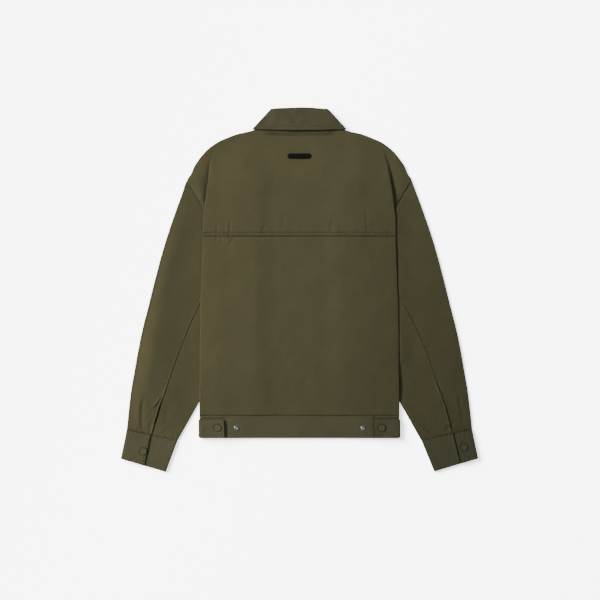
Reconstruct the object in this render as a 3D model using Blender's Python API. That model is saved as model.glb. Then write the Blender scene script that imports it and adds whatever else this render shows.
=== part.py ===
"""A work jacket laid flat, back up: every sewn piece is its own closed cloth wall.

Metres, +Z up. +Y runs from the hem to the collar, and the jacket rests on z = 0.
Tables are in millimetres. Each cloth piece is a middle surface of rows of points,
thickened both ways, and the pieces stand SEAM apart where they are sewn.
"""

import math

import bpy
import numpy as np
from mathutils import Vector

MM = 0.001

# Cloth, millimetres.
CLOTH = 1.6
BAND_CLOTH = 2.6
CUFF_CLOTH = 2.4
LEAF_CLOTH = 1.8
TAB_CLOTH = 2.0
PATCH_CLOTH = 0.9
SEAM = 0.3

# Heights of the body's back panel above the floor, to its lower face.
BACK_CENTRE = 4.1
BACK_NECK_RISE = 2.1
BACK_SIDE_RISE = 2.9

# Main lines of the body.
NECK_SEAM_Y = 367.0
YOKE_SEAM_Y = 121.6
BAND_TOP_Y = -281.4
BAND_BOTTOM_Y = -332.0
BAND_HALF_WIDTH = 225.0
SIDE_SEAM_AT_BAND = 189.0
UNDERARM = (112.5, 7.3)
ARMHOLE_TOP = (252.0, 248.1)
PLACKET_OVERLAP = 19.0
PLACKET_STEP = 10.0

# The pleat that runs into the armhole: arc length of each of its two turns.
PLEAT_ARC = 3.46
PLEAT_STEPS = 4
PLEAT_LOW = 3.4

# The sleeve's hollow, between its two layers.
SLEEVE_HOLLOW_UNDER_BODY = 0.7
SLEEVE_HOLLOW = 3.2
FOLD_STEPS = 4

SNAP_RADIUS = 7.6
STUD_RADIUS = 5.0

# Half width of the yoke at each row, from the neck to the yoke seam, with the pleat:
# the line of its fold, how far it has turned over, and the length of its middle layer.
YOKE_ROWS = (
    # y, half_width, pleat_x, turn_deg, middle, edge_turn_deg
    (367.0, 82.0, 60.0, 0.0, 2.0, 60.0),
    (360.8, 91.0, 68.0, 0.0, 2.0, 90.0),
    (357.6, 106.9, 84.0, 0.0, 2.0, 90.0),
    (351.6, 138.4, 112.0, 0.0, 2.0, 90.0),
    (342.6, 163.1, 136.0, 0.0, 2.0, 90.0),
    (333.6, 183.4, 158.0, 0.0, 2.0, 90.0),
    (324.6, 196.9, 173.0, 2.0, 2.0, 90.0),
    (315.6, 208.1, 184.0, 6.0, 2.0, 90.0),
    (297.6, 223.9, 193.5, 14.0, 2.5, 90.0),
    (279.6, 236.2, 198.5, 30.0, 3.0, 90.0),
    (261.6, 244.1, 202.0, 60.0, 2.0, 90.0),
    (248.1, 251.6, 204.0, 95.0, 1.5, 40.0),
    (234.0, 243.7, 206.3, 140.0, 3.0, 5.0),
    (216.0, 233.3, 209.2, 180.0, 10.0, 5.0),
    (187.3, 216.7, 212.4, 180.0, 19.0, 5.0),
    (164.8, 203.6, 215.1, 180.0, 28.0, 5.0),
    (140.0, 189.3, 216.0, 180.0, 40.0, 5.0),
    (121.9, 178.8, 216.5, 180.0, 50.0, 5.0),
)

# The back panel: its side fold, and the edge that it reaches beneath.
BACK_ROWS = (
    # y, fold_x, under_edge_x
    (121.6, 216.5, 179.0),
    (80.0, 218.2, 155.0),
    (40.0, 219.7, 131.9),
    (7.3, 220.7, 113.0),
    (-30.0, 222.5, 125.0),
    (-90.0, 223.2, 141.0),
    (-150.0, 223.8, 156.0),
    (-210.0, 224.3, 171.0),
    (-245.0, 224.6, 180.0),
    (-262.0, 224.8, 184.0),
    (-281.1, 224.9, 189.0),
)

# Sleeves: outer fold, inner fold, and where between them the seam on the back lies.
SLEEVE_ROWS = (
    # outer_x, outer_y, inner_x, inner_y, seam_share_left, seam_share_right
    (252.4, 247.7, 112.9, 6.9, 0.619, 0.609),
    (277.2, 180.8, 129.0, -34.0, 0.606, 0.585),
    (301.8, 108.0, 147.8, -78.8, 0.588, 0.555),
    (322.1, 35.2, 167.1, -123.5, 0.563, 0.509),
    (338.9, -32.1, 185.1, -164.8, 0.536, 0.464),
    (355.7, -99.3, 204.0, -206.1, 0.526, 0.437),
    (368.5, -166.5, 223.5, -247.4, 0.511, 0.414),
    (379.7, -233.8, 246.2, -288.7, 0.500, 0.383),
    (388.4, -310.2, 273.8, -335.7, 0.494, 0.366),
)
UNDERARM_SEAM_SHARE = 0.9

# Cuffs: outer and inner ends of the top and bottom edge, and the opening's line.
CUFF_ROWS = {
    "left": (
        # outer_x, outer_y, inner_x, inner_y, opening_share
        (388.5, -312.6, 273.9, -337.8, 0.474),
        (395.0, -345.4, 287.0, -373.0, 0.497),
        (401.8, -378.4, 300.2, -408.3, 0.520),
    ),
    "right": (
        (388.5, -312.6, 274.2, -337.8, 0.352),
        (395.2, -345.0, 288.6, -372.6, 0.366),
        (402.2, -377.6, 302.8, -407.4, 0.380),
    ),
}
CUFF_LAP = 20.0
CUFF_SNAP = {"left": (351.9, -361.2), "right": (369.7, -352.4)}

# Collar leaf, from the middle of the back to the tip at the front.
LEAF_TOP_Y = 408.6
LEAF_TOP_BOW = 0.8
LEAF_TOP_HALF = 64.8
LEAF_LOWER_Y = 361.4
LEAF_LOWER_HALF = 102.4
LEAF_FRONT = (
    # fold_x, fold_y, edge_x, edge_y
    (60.8, 387.6, 101.0, 331.3),
    (45.0, 353.6, 93.5, 302.1),
    (26.0, 327.6, 78.8, 275.1),
    (5.5, 311.1, 58.5, 254.6),
)
BEND_SLANT = 1.2
STAND_FRONT = (
    # fold_x, fold_y, edge_x, edge_y
    (62.0, 383.5, 79.0, 352.0),
    (47.1, 351.4, 65.0, 334.0),
    (28.1, 325.5, 41.0, 315.0),
    (7.6, 309.6, 12.0, 307.0),
)

# Fronts, laid on the floor: each row runs from the centre front to the outer edge.
FRONT_ROWS = (
    # y, inner_x, outer_x
    (350.0, 84.0, 138.0),
    (341.0, 76.0, 163.0),
    (325.0, 60.0, 193.0),
    (308.0, 39.0, 213.0),
    (302.5, 20.5, 218.0),
    (300.0, 0.0, 221.0),
    (280.0, 0.0, 234.0),
    (262.0, 0.0, 242.0),
    (248.4, 0.0, 251.2),
    (216.0, 0.0, 233.0),
    (180.0, 0.0, 212.0),
    (120.0, 0.0, 177.3),
    (60.0, 0.0, 142.5),
    (7.3, 0.0, 112.0),
    (-60.0, 0.0, 132.4),
    (-140.0, 0.0, 152.9),
    (-220.0, 0.0, 173.1),
    (-281.1, 0.0, 188.7),
)

TAB_TOP_Y = -290.8
TAB_BOTTOM_Y = -330.6
TAB_INNER_X = 171.2
TAB_OUTER_X = 226.9
TAB_SNAP = (184.5, -310.2)
BAND_STUD = (142.0, -310.2)

PATCH_CENTRE_Y = 301.2
PATCH_HALF_WIDTH = 27.0
PATCH_HALF_HEIGHT = 6.0

OLIVE = (0.092, 0.080, 0.045)
OLIVE_DARK = (0.070, 0.061, 0.036)
SNAP_GREEN = (0.085, 0.080, 0.045)
PATCH_BLACK = (0.012, 0.012, 0.012)
SILVER = (0.55, 0.55, 0.53)


def smooth(value):
    """Rise gently from 0 to 1."""
    value = min(max(value, 0.0), 1.0)
    return value * value * (3.0 - 2.0 * value)


def between(rows, key, value, column):
    """Read a column of a table at any value of its key column."""
    keys = np.array([row[key] for row in rows])
    order = np.argsort(keys)
    values = np.array([row[column] for row in rows])
    return float(np.interp(value, keys[order], values[order]))


def material(name, colour, roughness, metallic=0.0):
    """A plain finish of one colour."""
    finish = bpy.data.materials.new(name)
    finish.use_nodes = True
    shader = finish.node_tree.nodes["Principled BSDF"]
    shader.inputs["Base Color"].default_value = (*colour, 1.0)
    shader.inputs["Roughness"].default_value = roughness
    shader.inputs["Metallic"].default_value = metallic
    return finish


def mesh_object(name, points, faces, finish):
    """A mesh object from points in millimetres."""
    mesh = bpy.data.meshes.new(name)
    mesh.from_pydata([Vector(point) * MM for point in points], [], faces)
    mesh.update()
    mesh.materials.append(finish)
    obj = bpy.data.objects.new(name, mesh)
    bpy.context.scene.collection.objects.link(obj)
    return obj


def cloth_wall(name, rows, thickness, finish):
    """One cloth piece: the surface through the rows, thickened both ways."""
    columns = len(rows[0])
    points = [point for row in rows for point in row]
    faces = []
    for row in range(len(rows) - 1):
        for column in range(columns - 1):
            first = row * columns + column
            faces.append((first, first + 1, first + columns + 1, first + columns))
    obj = mesh_object(name, points, faces, finish)
    solidify = obj.modifiers.new("Cloth", "SOLIDIFY")
    solidify.thickness = thickness * MM
    solidify.offset = 0.0
    solidify.use_even_offset = True
    solidify.use_quality_normals = True
    obj.modifiers.new("Triangles", "TRIANGULATE")
    return obj


def mirrored(row, side):
    """Put a row of the right side on the side given by +1 or -1."""
    return [(side * point[0], point[1], point[2]) for point in row]


def back_height(x, y):
    """Middle height of the body's top layer."""
    across = abs(x)
    neck = smooth((y - 200.0) / 50.0) * smooth((180.0 - across) / 60.0)
    side = smooth((across - 50.0) / 55.0) * smooth((325.0 - y) / 110.0)
    band = smooth((y + 281.0) / 60.0)
    side_rise = BACK_SIDE_RISE * (0.55 + 0.45 * band)
    return BACK_CENTRE + BACK_NECK_RISE * neck + side_rise * side + CLOTH / 2


def turn(start, heading, angle, length, steps):
    """Points along an arc in the XZ plane, and the heading after it, in radians."""
    points = []
    x, z = start
    step_length = length / steps
    for _ in range(steps):
        heading += angle / steps / 2
        x += step_length * math.cos(heading)
        z += step_length * math.sin(heading)
        heading += angle / steps / 2
        points.append((x, z))
    return points, heading


def yoke_half_row(y, half_width, pleat_x, turn_deg, middle, edge_turn_deg):
    """The right half of one yoke row, from the centre to its outer edge."""
    angle = math.radians(turn_deg)
    first, heading = turn((0.0, 0.0), 0.0, -angle, PLEAT_ARC, PLEAT_STEPS)
    corner = first[-1]
    mid = (corner[0] + middle * math.cos(heading), corner[1] + middle * math.sin(heading))
    second, _ = turn(mid, heading, angle, PLEAT_ARC, PLEAT_STEPS)
    pleat = [(0.0, 0.0)] + first + [mid] + second
    furthest = max(x for x, _ in pleat[:PLEAT_STEPS + 1])
    start_x = pleat_x - furthest
    top = back_height(start_x, y)
    drop = (top - PLEAT_LOW) * smooth((330.0 - y) / 75.0)
    squeeze = drop / -pleat[-1][1] if turn_deg > 0.0 else 1.0
    row = [(start_x * share, y, back_height(start_x * share, y)) for share in (0.0, 0.2, 0.4, 0.6, 0.8)]
    row += [(start_x + x, y, top + z * squeeze) for x, z in pleat]
    last = row[-1]
    drop_angle = math.radians(edge_turn_deg)
    floor_gap = CLOTH + SEAM + front_rise(half_width, y, False)
    if edge_turn_deg > 10.0:
        radius = last[2] - floor_gap if edge_turn_deg >= 60.0 else 1.4
    else:
        radius = 14.0
    edge, _ = turn((0.0, 0.0), 0.0, -drop_angle, radius * drop_angle, 3)
    reach = max(x for x, _ in edge) + (CLOTH / 2 if edge_turn_deg >= 80.0 else 0.0)
    edge_x = half_width - reach
    for share in (0.33, 0.66, 1.0):
        row.append((last[0] + (edge_x - last[0]) * share, y, last[2]))
    row += [(edge_x + x, y, last[2] + z) for x, z in edge]
    return row


def whole_row(half_row):
    """Both halves of a row whose first point is on the centre line."""
    left = [(-x, y, z) for x, y, z in reversed(half_row[1:])]
    return left + list(half_row)


def make_yoke(finish):
    """The back yoke, from the neck seam to the yoke seam, shoulder to shoulder."""
    rows = [whole_row(yoke_half_row(*row)) for row in YOKE_ROWS]
    return cloth_wall("back_yoke", rows, CLOTH, finish)


def under_height(x, y):
    """Middle height of the layer that is turned under at the body's sides."""
    sleeve_inner = between(SLEEVE_ROWS, 3, y, 2)
    on_front = CLOTH + SEAM + CLOTH / 2
    on_sleeve = 2 * CLOTH + SLEEVE_HOLLOW_UNDER_BODY + 2 * SEAM + CLOTH / 2
    above = smooth((abs(x) - sleeve_inner + 14.0) / 10.0)
    if y > UNDERARM[1]:
        above = 1.0
    if y < -258.0:
        above = 0.0
    return on_front + (on_sleeve - on_front) * above


def back_half_row(y, fold_x, under_edge_x):
    """The right half of a back panel row: over, round the side fold, and under."""
    radius = 1.4
    centre_x = fold_x - CLOTH / 2 - radius
    top = back_height(centre_x, y)
    low = under_height(centre_x, y)
    row = [(centre_x * share, y, back_height(centre_x * share, y)) for share in (0.0, 0.2, 0.4, 0.55, 0.7, 0.85)]
    middle = (top + low) / 2
    half_gap = (top - low) / 2
    for step in range(FOLD_STEPS + 1):
        angle = math.pi / 2 - math.pi * step / FOLD_STEPS
        row.append((centre_x + radius * math.cos(angle), y, middle + half_gap * math.sin(angle)))
    end_x = under_edge_x + SEAM
    sleeve_inner = min(between(SLEEVE_ROWS, 3, y, 2), centre_x)
    over_sleeve = max(sleeve_inner - 4.5, end_x + 4.0)
    off_sleeve = max(sleeve_inner - 15.0, end_x + 2.0)
    for x in ((centre_x + over_sleeve) / 2, over_sleeve, off_sleeve, end_x):
        row.append((x, y, under_height(x, y)))
    return row


def make_back(finish):
    """The back panel."""
    rows = [whole_row(back_half_row(y - SEAM if y == YOKE_SEAM_Y else y, fold, edge))
            for y, fold, edge in BACK_ROWS]
    return cloth_wall("back_panel", rows, CLOTH, finish)


def sleeve_hollow(x, y):
    """Gap between a sleeve's layers: small beneath the body, more where it is free."""
    edge = between(BACK_ROWS, 0, y, 1) if y < YOKE_SEAM_Y else between(YOKE_ROWS, 0, y, 2)
    if y < BAND_TOP_Y:
        edge = BAND_HALF_WIDTH
    free = smooth((abs(x) - edge - 16.0) / 30.0)
    return SLEEVE_HOLLOW_UNDER_BODY + (SLEEVE_HOLLOW - SLEEVE_HOLLOW_UNDER_BODY) * free


def sleeve_point(row, share, layer):
    """A point of a sleeve row: share 0 is the outer fold, 1 the inner fold."""
    outer_x, outer_y, inner_x, inner_y = row[:4]
    x = outer_x + (inner_x - outer_x) * share
    y = outer_y + (inner_y - outer_y) * share
    z = CLOTH / 2
    if layer == "top":
        z = CLOTH * 1.5 + sleeve_hollow(x, y)
    return (x, y, z)


def sleeve_fold(row, share, steps, outwards):
    """Points round a sleeve's folded edge, from the top layer to the lower one."""
    outer = Vector(row[0:2])
    inner = Vector(row[2:4])
    across = (inner - outer).normalized() * (1.0 if outwards < 0 else -1.0)
    tip = outer if share == 0.0 else inner
    hollow = sleeve_hollow(tip.x, tip.y)
    radius = (CLOTH + hollow) / 2
    centre = tip - across * (radius + CLOTH / 2)
    points = []
    for step in range(steps + 1):
        angle = math.pi / 2 - math.pi * step / steps
        reach = radius * math.cos(angle)
        place = centre + across * reach
        points.append((place.x, place.y, CLOTH / 2 + radius + radius * math.sin(angle)))
    return points


def make_sleeve(side_name, side, finish):
    """The two pieces of one sleeve."""
    upper_rows = []
    under_rows = []
    seam_column = 4 if side_name == "left" else 5
    for row in SLEEVE_ROWS:
        width = (Vector(row[0:2]) - Vector(row[2:4])).length
        half_seam = SEAM / 2 / width
        seam = row[seam_column]
        start = 6.0 / width
        upper = [sleeve_point(row, seam - half_seam - (seam - half_seam - start) * share, "top")
                 for share in (0.0, 0.25, 0.5, 0.75, 1.0)]
        upper += sleeve_fold(row, 0.0, FOLD_STEPS, 1)
        upper += [sleeve_point(row, start + (UNDERARM_SEAM_SHARE - half_seam - start) * share, "low")
                  for share in (0.15, 0.5, 1.0)]
        upper_rows.append(mirrored(upper, side))
        last = 1.0 - start
        under = [sleeve_point(row, seam + half_seam + (last - seam - half_seam) * share, "top")
                 for share in (0.0, 0.35, 0.7, 1.0)]
        under += sleeve_fold(row, 1.0, FOLD_STEPS, -1)
        under.append(sleeve_point(row, UNDERARM_SEAM_SHARE + half_seam, "low"))
        under_rows.append(mirrored(under, side))
    cloth_wall(f"sleeve_upper_{side_name}", upper_rows, CLOTH, finish)
    cloth_wall(f"sleeve_under_{side_name}", under_rows, CLOTH, finish)


def make_cuff(side_name, side, finish):
    """A cuff: a flat ring that laps over itself at its opening."""
    low = CUFF_CLOTH / 2
    first_layer = CUFF_CLOTH * 1.5 + 0.8
    lap_layer = first_layer + CUFF_CLOTH + SEAM
    rows = []
    for outer_x, outer_y, inner_x, inner_y, opening in CUFF_ROWS[side_name]:
        outer = Vector((outer_x, outer_y))
        inner = Vector((inner_x, inner_y))
        width = (inner - outer).length
        along = (inner - outer) / width
        points = []

        def put(distance, height):
            place = outer + along * distance
            points.append((place.x, place.y, height))

        opening_at = opening * width
        inner_radius = (first_layer - low) / 2
        outer_radius = (lap_layer - low) / 2
        put(opening_at - CUFF_LAP, first_layer)
        put(opening_at, first_layer)
        for share in (0.3, 0.65):
            put(opening_at + (width - 6.0 - opening_at) * share, first_layer)
        centre = width - CUFF_CLOTH / 2 - inner_radius
        for step in range(FOLD_STEPS + 1):
            angle = math.pi / 2 - math.pi * step / FOLD_STEPS
            put(centre + inner_radius * math.cos(angle), low + inner_radius * (1 + math.sin(angle)))
        put(width * 0.5, low)
        centre = CUFF_CLOTH / 2 + outer_radius
        for step in range(FOLD_STEPS + 3):
            angle = -math.pi / 2 - math.pi * step / (FOLD_STEPS + 2)
            put(centre + outer_radius * math.cos(angle), low + outer_radius * (1 + math.sin(angle)))
        for share in (0.5, 1.0):
            put(centre + (opening_at - centre) * share, lap_layer)
        rows.append(mirrored(points, side))
    cloth_wall(f"cuff_{side_name}", rows, CUFF_CLOTH, finish)
    return lap_layer + CUFF_CLOTH / 2


def ring_stations(top, front, top_height, low_height, inset):
    """Stations of a flattened ring, from the left tip over the back to the right tip.

    top holds the half widths and heights of the back's fold line and edge; each
    station is a fold point, an edge point and the ring's outward direction.
    """
    fold_half, fold_y, edge_half, edge_y, bow = top
    radius = (top_height - low_height) / 2
    middle = (top_height + low_height) / 2
    fold_corner = Vector((fold_half, fold_y))
    edge_corner = Vector((edge_half, edge_y))
    outward = Vector((1.0, 0.0))
    reach = radius * BEND_SLANT
    fold_centre = fold_corner - outward * (reach + inset)
    edge_centre = edge_corner - outward * (reach + inset)
    right = []
    for share in (0.0, 0.35, 0.7):
        rise = bow * (1.0 - share * share)
        right.append((Vector((fold_centre.x * share, fold_centre.y + rise, top_height)),
                      Vector((edge_centre.x * share, edge_centre.y, top_height)),
                      Vector((0.0, 0.0, 1.0))))
    for step in range(FOLD_STEPS + 1):
        angle = math.pi / 2 - math.pi * step / FOLD_STEPS
        shift = outward * reach * math.cos(angle)
        height = middle + radius * math.sin(angle)
        direction = Vector((outward.x * math.cos(angle), outward.y * math.cos(angle), math.sin(angle)))
        right.append((Vector((fold_centre.x + shift.x, fold_centre.y + shift.y, height)),
                      Vector((edge_centre.x + shift.x, edge_centre.y + shift.y, height)), direction))
    for fold_x, fold_yy, edge_x, edge_yy in front:
        right.append((Vector((fold_x, fold_yy, low_height)), Vector((edge_x, edge_yy, low_height)),
                      Vector((0.0, 0.0, -1.0))))
    flip = Vector((-1.0, 1.0, 1.0))
    left = [tuple(flip * part for part in station) for station in reversed(right[1:])]
    return left + right


def make_collar(finish):
    """The collar leaf, with its rolled fold, and the stand inside it."""
    roll = 1.5
    leaf_low = LEAF_CLOTH / 2 + 0.06
    leaf_top = 9.1
    leaf = ring_stations((LEAF_TOP_HALF, LEAF_TOP_Y - 0.9, LEAF_LOWER_HALF, LEAF_LOWER_Y, LEAF_TOP_BOW),
                         LEAF_FRONT, leaf_top, leaf_low, LEAF_CLOTH / 2)
    rows = []
    for fold, edge, outward in leaf:
        down = (edge - fold).normalized()
        depth = roll * (0.1 + 0.9 * max(outward.z, 0.0))
        row = [fold + down * roll * (1.0 - math.sin(angle)) - outward * depth * (1.0 - math.cos(angle))
               for angle in (math.radians(70.0), math.radians(35.0), 0.0)]
        row += [fold.lerp(edge, share) for share in (0.4, 0.75, 1.0)]
        rows.append(row)
    cloth_wall("collar_leaf", rows, LEAF_CLOTH, finish)
    stand_low = LEAF_CLOTH + SEAM + CLOTH / 2
    stand_top = leaf_top - LEAF_CLOTH / 2 - SEAM - CLOTH / 2
    stand = ring_stations((LEAF_TOP_HALF - 2.0, LEAF_TOP_Y - 6.5, 78.0, NECK_SEAM_Y + SEAM, 0.0),
                          STAND_FRONT, stand_top, stand_low, 1.2)
    rows = [[fold.lerp(edge, share) for share in (0.0, 0.5, 1.0)] for fold, edge, _ in stand]
    cloth_wall("collar_stand", rows, CLOTH, finish)


def front_rise(x, y, on_top):
    """How far a front is lifted off the floor by the collar leaf and the placket."""
    under_collar = smooth((y - 228.0) / 24.0) * smooth((150.0 - abs(x)) / 24.0)
    rise = (LEAF_CLOTH + SEAM) * under_collar
    if on_top:
        rise += (CLOTH + SEAM) * smooth((PLACKET_OVERLAP + PLACKET_STEP - x) / (PLACKET_STEP - 2.0))
    return rise


def make_front(side_name, side, finish):
    """One front, flat on the floor; the right one laps over the left one."""
    on_top = side > 0
    rows = []
    for y, inner_x, outer_x in FRONT_ROWS:
        start = inner_x if inner_x > 0.0 else -PLACKET_OVERLAP
        lapped = max(start + 4.0, PLACKET_OVERLAP + 1.5)
        flat = lapped + PLACKET_STEP
        columns = [start, (start + lapped) / 2, lapped, flat]
        columns += [flat + (outer_x - flat) * share for share in (0.3, 0.6, 1.0)]
        row = [(x, y, CLOTH / 2 + front_rise(x, y, on_top)) for x in columns]
        rows.append(mirrored(row, side))
    cloth_wall(f"front_{side_name}", rows, CLOTH, finish)


def make_waistband(finish):
    """The waistband's back part and its two front parts."""
    tab_room = TAB_CLOTH + SEAM
    low = BAND_CLOTH / 2
    rows = []
    for share in (0.0, 0.5, 1.0):
        y = (BAND_TOP_Y - SEAM) + (BAND_BOTTOM_Y - BAND_TOP_Y + SEAM) * share
        radius = (BAND_CLOTH + 0.8) / 2
        centre_x = BAND_HALF_WIDTH - 0.4 - BAND_CLOTH / 2 - radius
        row = [(x, y, low + BAND_CLOTH + 0.8 + tab_room * smooth((x - 90.0) / 60.0))
               for x in (0.0, 60.0, 100.0, 120.0, 150.0, 190.0)]
        for step in range(FOLD_STEPS + 1):
            angle = math.pi / 2 - math.pi * step / FOLD_STEPS
            row.append((centre_x + radius * math.cos(angle), y,
                        low + tab_room + radius * (1.0 + math.sin(angle))))
        row.append((SIDE_SEAM_AT_BAND + SEAM, y, low + tab_room))
        rows.append(whole_row(row))
    cloth_wall("waistband_back", rows, BAND_CLOTH, finish)
    for side_name, side in (("left", -1.0), ("right", 1.0)):
        rows = []
        for y in (BAND_TOP_Y - SEAM, BAND_BOTTOM_Y):
            lift = 0.3
            rows.append(mirrored([(x, y, low) for x in (lift, 60.0, 120.0, SIDE_SEAM_AT_BAND)], side))
        cloth_wall(f"waistband_front_{side_name}", rows, BAND_CLOTH, finish)
    return tab_room + 2 * BAND_CLOTH + 0.8


def make_tab(side_name, side, band_top, finish):
    """A waist tab: from the side seam round the fold and onto the back."""
    low = TAB_CLOTH / 2
    top = band_top + SEAM + TAB_CLOTH / 2
    radius = (top - low) / 2
    rows = []
    corner = 2.0
    for y, cut in ((TAB_TOP_Y, corner), (TAB_TOP_Y - corner, 0.0), (TAB_BOTTOM_Y + corner, 0.0),
                   (TAB_BOTTOM_Y, corner)):
        centre_x = TAB_OUTER_X - TAB_CLOTH / 2 - radius
        row = [(SIDE_SEAM_AT_BAND + SEAM * 2, y, low)]
        for step in range(7):
            angle = -math.pi / 2 + math.pi * step / 6
            row.append((centre_x + radius * math.cos(angle), y, low + radius * (1.0 + math.sin(angle))))
        row.append(((centre_x + TAB_INNER_X) / 2, y, top))
        row.append((TAB_INNER_X + cut, y, top))
        rows.append(mirrored(row, side))
    cloth_wall(f"tab_{side_name}", rows, TAB_CLOTH, finish)
    return top + TAB_CLOTH / 2


def turned(name, place, base, profile, steps, finish):
    """A closed turned piece: profile rows are radius and height above its base."""
    points = [(place[0], place[1], base)]
    for radius, height in profile:
        for step in range(steps):
            angle = 2.0 * math.pi * step / steps
            points.append((place[0] + radius * math.cos(angle), place[1] + radius * math.sin(angle),
                           base + height))
    points.append((place[0], place[1], base + profile[-1][1]))
    last = len(points) - 1
    faces = []
    for step in range(steps):
        after = (step + 1) % steps
        faces.append((0, 1 + after, 1 + step))
        for ring in range(len(profile) - 1):
            low = 1 + ring * steps
            high = low + steps
            faces.append((low + step, low + after, high + after, high + step))
        top = 1 + (len(profile) - 1) * steps
        faces.append((top + step, top + after, last))
    obj = mesh_object(name, points, faces, finish)
    obj.data.shade_smooth()
    obj.data.set_sharp_from_angle(angle=math.radians(40.0))
    return obj


def make_snap(name, place, base, finish):
    """A painted snap cap: a low dome with a rolled rim."""
    radius = SNAP_RADIUS
    profile = ((radius - 0.6, 0.0), (radius, 0.5), (radius, 1.1), (radius - 0.7, 1.6),
               (radius * 0.72, 1.7), (radius * 0.6, 1.5), (radius * 0.3, 1.5))
    turned(name, place, base + SEAM, profile, 20, finish)


def make_stud(name, place, base, finish):
    """A silver snap stud: a base ring and a raised hollow post."""
    radius = STUD_RADIUS
    profile = ((radius, 0.0), (radius, 0.6), (radius * 0.72, 0.8), (radius * 0.6, 2.2),
               (radius * 0.45, 2.4), (radius * 0.34, 1.4), (radius * 0.15, 1.3))
    turned(name, place, base + SEAM, profile, 16, finish)


def make_patch(finish):
    """The small bare patch below the collar, laid on the yoke."""
    rows = []
    for share in (-1.0, -0.6, 0.0, 0.6, 1.0):
        y = PATCH_CENTRE_Y + PATCH_HALF_HEIGHT * share
        half = PATCH_HALF_WIDTH - PATCH_HALF_HEIGHT * (1.0 - math.sqrt(max(1.0 - share * share, 0.16)))
        lift = CLOTH / 2 + SEAM + PATCH_CLOTH / 2
        rows.append([(half * along, y, back_height(half * along, y) + lift)
                     for along in (-1.0, -0.6, -0.2, 0.2, 0.6, 1.0)])
    cloth_wall("neck_patch", rows, PATCH_CLOTH, finish)


def rest_on_floor():
    """Centre the jacket on the origin and stand its lowest point on z = 0."""
    graph = bpy.context.evaluated_depsgraph_get()
    corners = []
    pieces = [obj for obj in bpy.context.scene.objects if obj.type == "MESH"]
    for obj in pieces:
        mesh = obj.evaluated_get(graph).to_mesh()
        corners += [tuple(vertex.co) for vertex in mesh.vertices]
    corners = np.array(corners)
    low = corners.min(axis=0)
    high = corners.max(axis=0)
    shift = Vector((-(low[0] + high[0]) / 2, -(low[1] + high[1]) / 2, -low[2]))
    for obj in pieces:
        for vertex in obj.data.vertices:
            vertex.co += shift


def main():
    """Build the whole jacket."""
    for obj in list(bpy.data.objects):
        bpy.data.objects.remove(obj, do_unlink=True)
    shell = material("shell", OLIVE, 0.85)
    inside = material("front_shell", OLIVE_DARK, 0.85)
    cap = material("snap_paint", SNAP_GREEN, 0.45)
    patch = material("patch", PATCH_BLACK, 0.6)
    silver = material("silver", SILVER, 0.3, 1.0)
    make_yoke(shell)
    make_back(shell)
    make_collar(shell)
    make_patch(patch)
    band_top = make_waistband(shell)
    for side_name, side in (("left", -1.0), ("right", 1.0)):
        make_front(side_name, side, inside)
        make_sleeve(side_name, side, shell)
        cuff_top = make_cuff(side_name, side, shell)
        tab_top = make_tab(side_name, side, band_top, shell)
        snap_x, snap_y = CUFF_SNAP[side_name]
        make_snap(f"cuff_snap_{side_name}", (side * snap_x, snap_y), cuff_top, cap)
        make_snap(f"tab_snap_{side_name}", (side * TAB_SNAP[0], TAB_SNAP[1]), tab_top, cap)
        stud_base = band_top - (TAB_CLOTH + SEAM) * (1.0 - smooth((BAND_STUD[0] - 90.0) / 60.0))
        make_stud(f"band_stud_{side_name}", (side * BAND_STUD[0], BAND_STUD[1]), stud_base, silver)
    rest_on_floor()


main()
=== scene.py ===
"""The looks of a work jacket laid flat, back up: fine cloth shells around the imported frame.

Lengths are in millimetres until a mesh is made, and then in metres. +Y runs from the hem
to the collar, +X to the right sleeve, and the jacket lies on z = 0.
"""

import logging
import math
from dataclasses import dataclass, field
from enum import Enum
from typing import Callable, Sequence

import bpy
import numpy as np
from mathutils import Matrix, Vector
from mathutils.bvhtree import BVHTree


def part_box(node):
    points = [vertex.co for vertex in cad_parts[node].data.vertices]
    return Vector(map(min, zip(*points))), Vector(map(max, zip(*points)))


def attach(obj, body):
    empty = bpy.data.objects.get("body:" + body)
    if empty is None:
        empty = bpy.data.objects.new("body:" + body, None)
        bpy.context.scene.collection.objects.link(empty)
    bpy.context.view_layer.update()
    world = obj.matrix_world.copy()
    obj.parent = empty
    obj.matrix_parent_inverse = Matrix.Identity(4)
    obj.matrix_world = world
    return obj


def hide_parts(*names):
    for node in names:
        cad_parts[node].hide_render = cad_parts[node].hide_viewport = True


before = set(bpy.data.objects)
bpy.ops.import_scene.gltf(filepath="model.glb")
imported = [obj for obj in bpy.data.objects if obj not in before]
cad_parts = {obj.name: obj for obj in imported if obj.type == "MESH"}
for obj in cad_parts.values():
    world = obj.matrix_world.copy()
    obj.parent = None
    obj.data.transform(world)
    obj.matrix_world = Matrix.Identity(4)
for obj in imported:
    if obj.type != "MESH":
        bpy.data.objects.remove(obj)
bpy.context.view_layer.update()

LOG = logging.getLogger("jacket")
MM = 0.001
BODY = "root"

STITCH = 4.8
BAND_TOP = -281.4
BAND_BOTTOM = -332.0
SHOULDER_Y = 247.7
CUFF_WIDTH = 117.0
CUFF_LENGTH = 68.0


def frame_offset() -> np.ndarray:
    """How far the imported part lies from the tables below, in millimetres."""
    low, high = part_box("waistband_back")
    return np.array([(low[0] + high[0]) / 2.0 / MM, low[1] / MM - BAND_BOTTOM, 0.0])


OFFSET = frame_offset()

Array = np.ndarray
Lift = Callable[[Array, Array], Array]
Table = Sequence[Sequence[float]]
Nodes = bpy.types.NodeTree
Socket = bpy.types.NodeSocket
Material = bpy.types.Material
Piece = bpy.types.Object


class Side(Enum):
    """The two sides of the jacket, as the picture shows them."""

    LEFT = -1
    RIGHT = 1

    @property
    def word(self) -> str:
        """The side's name in piece names."""
        return self.name.lower()


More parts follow.
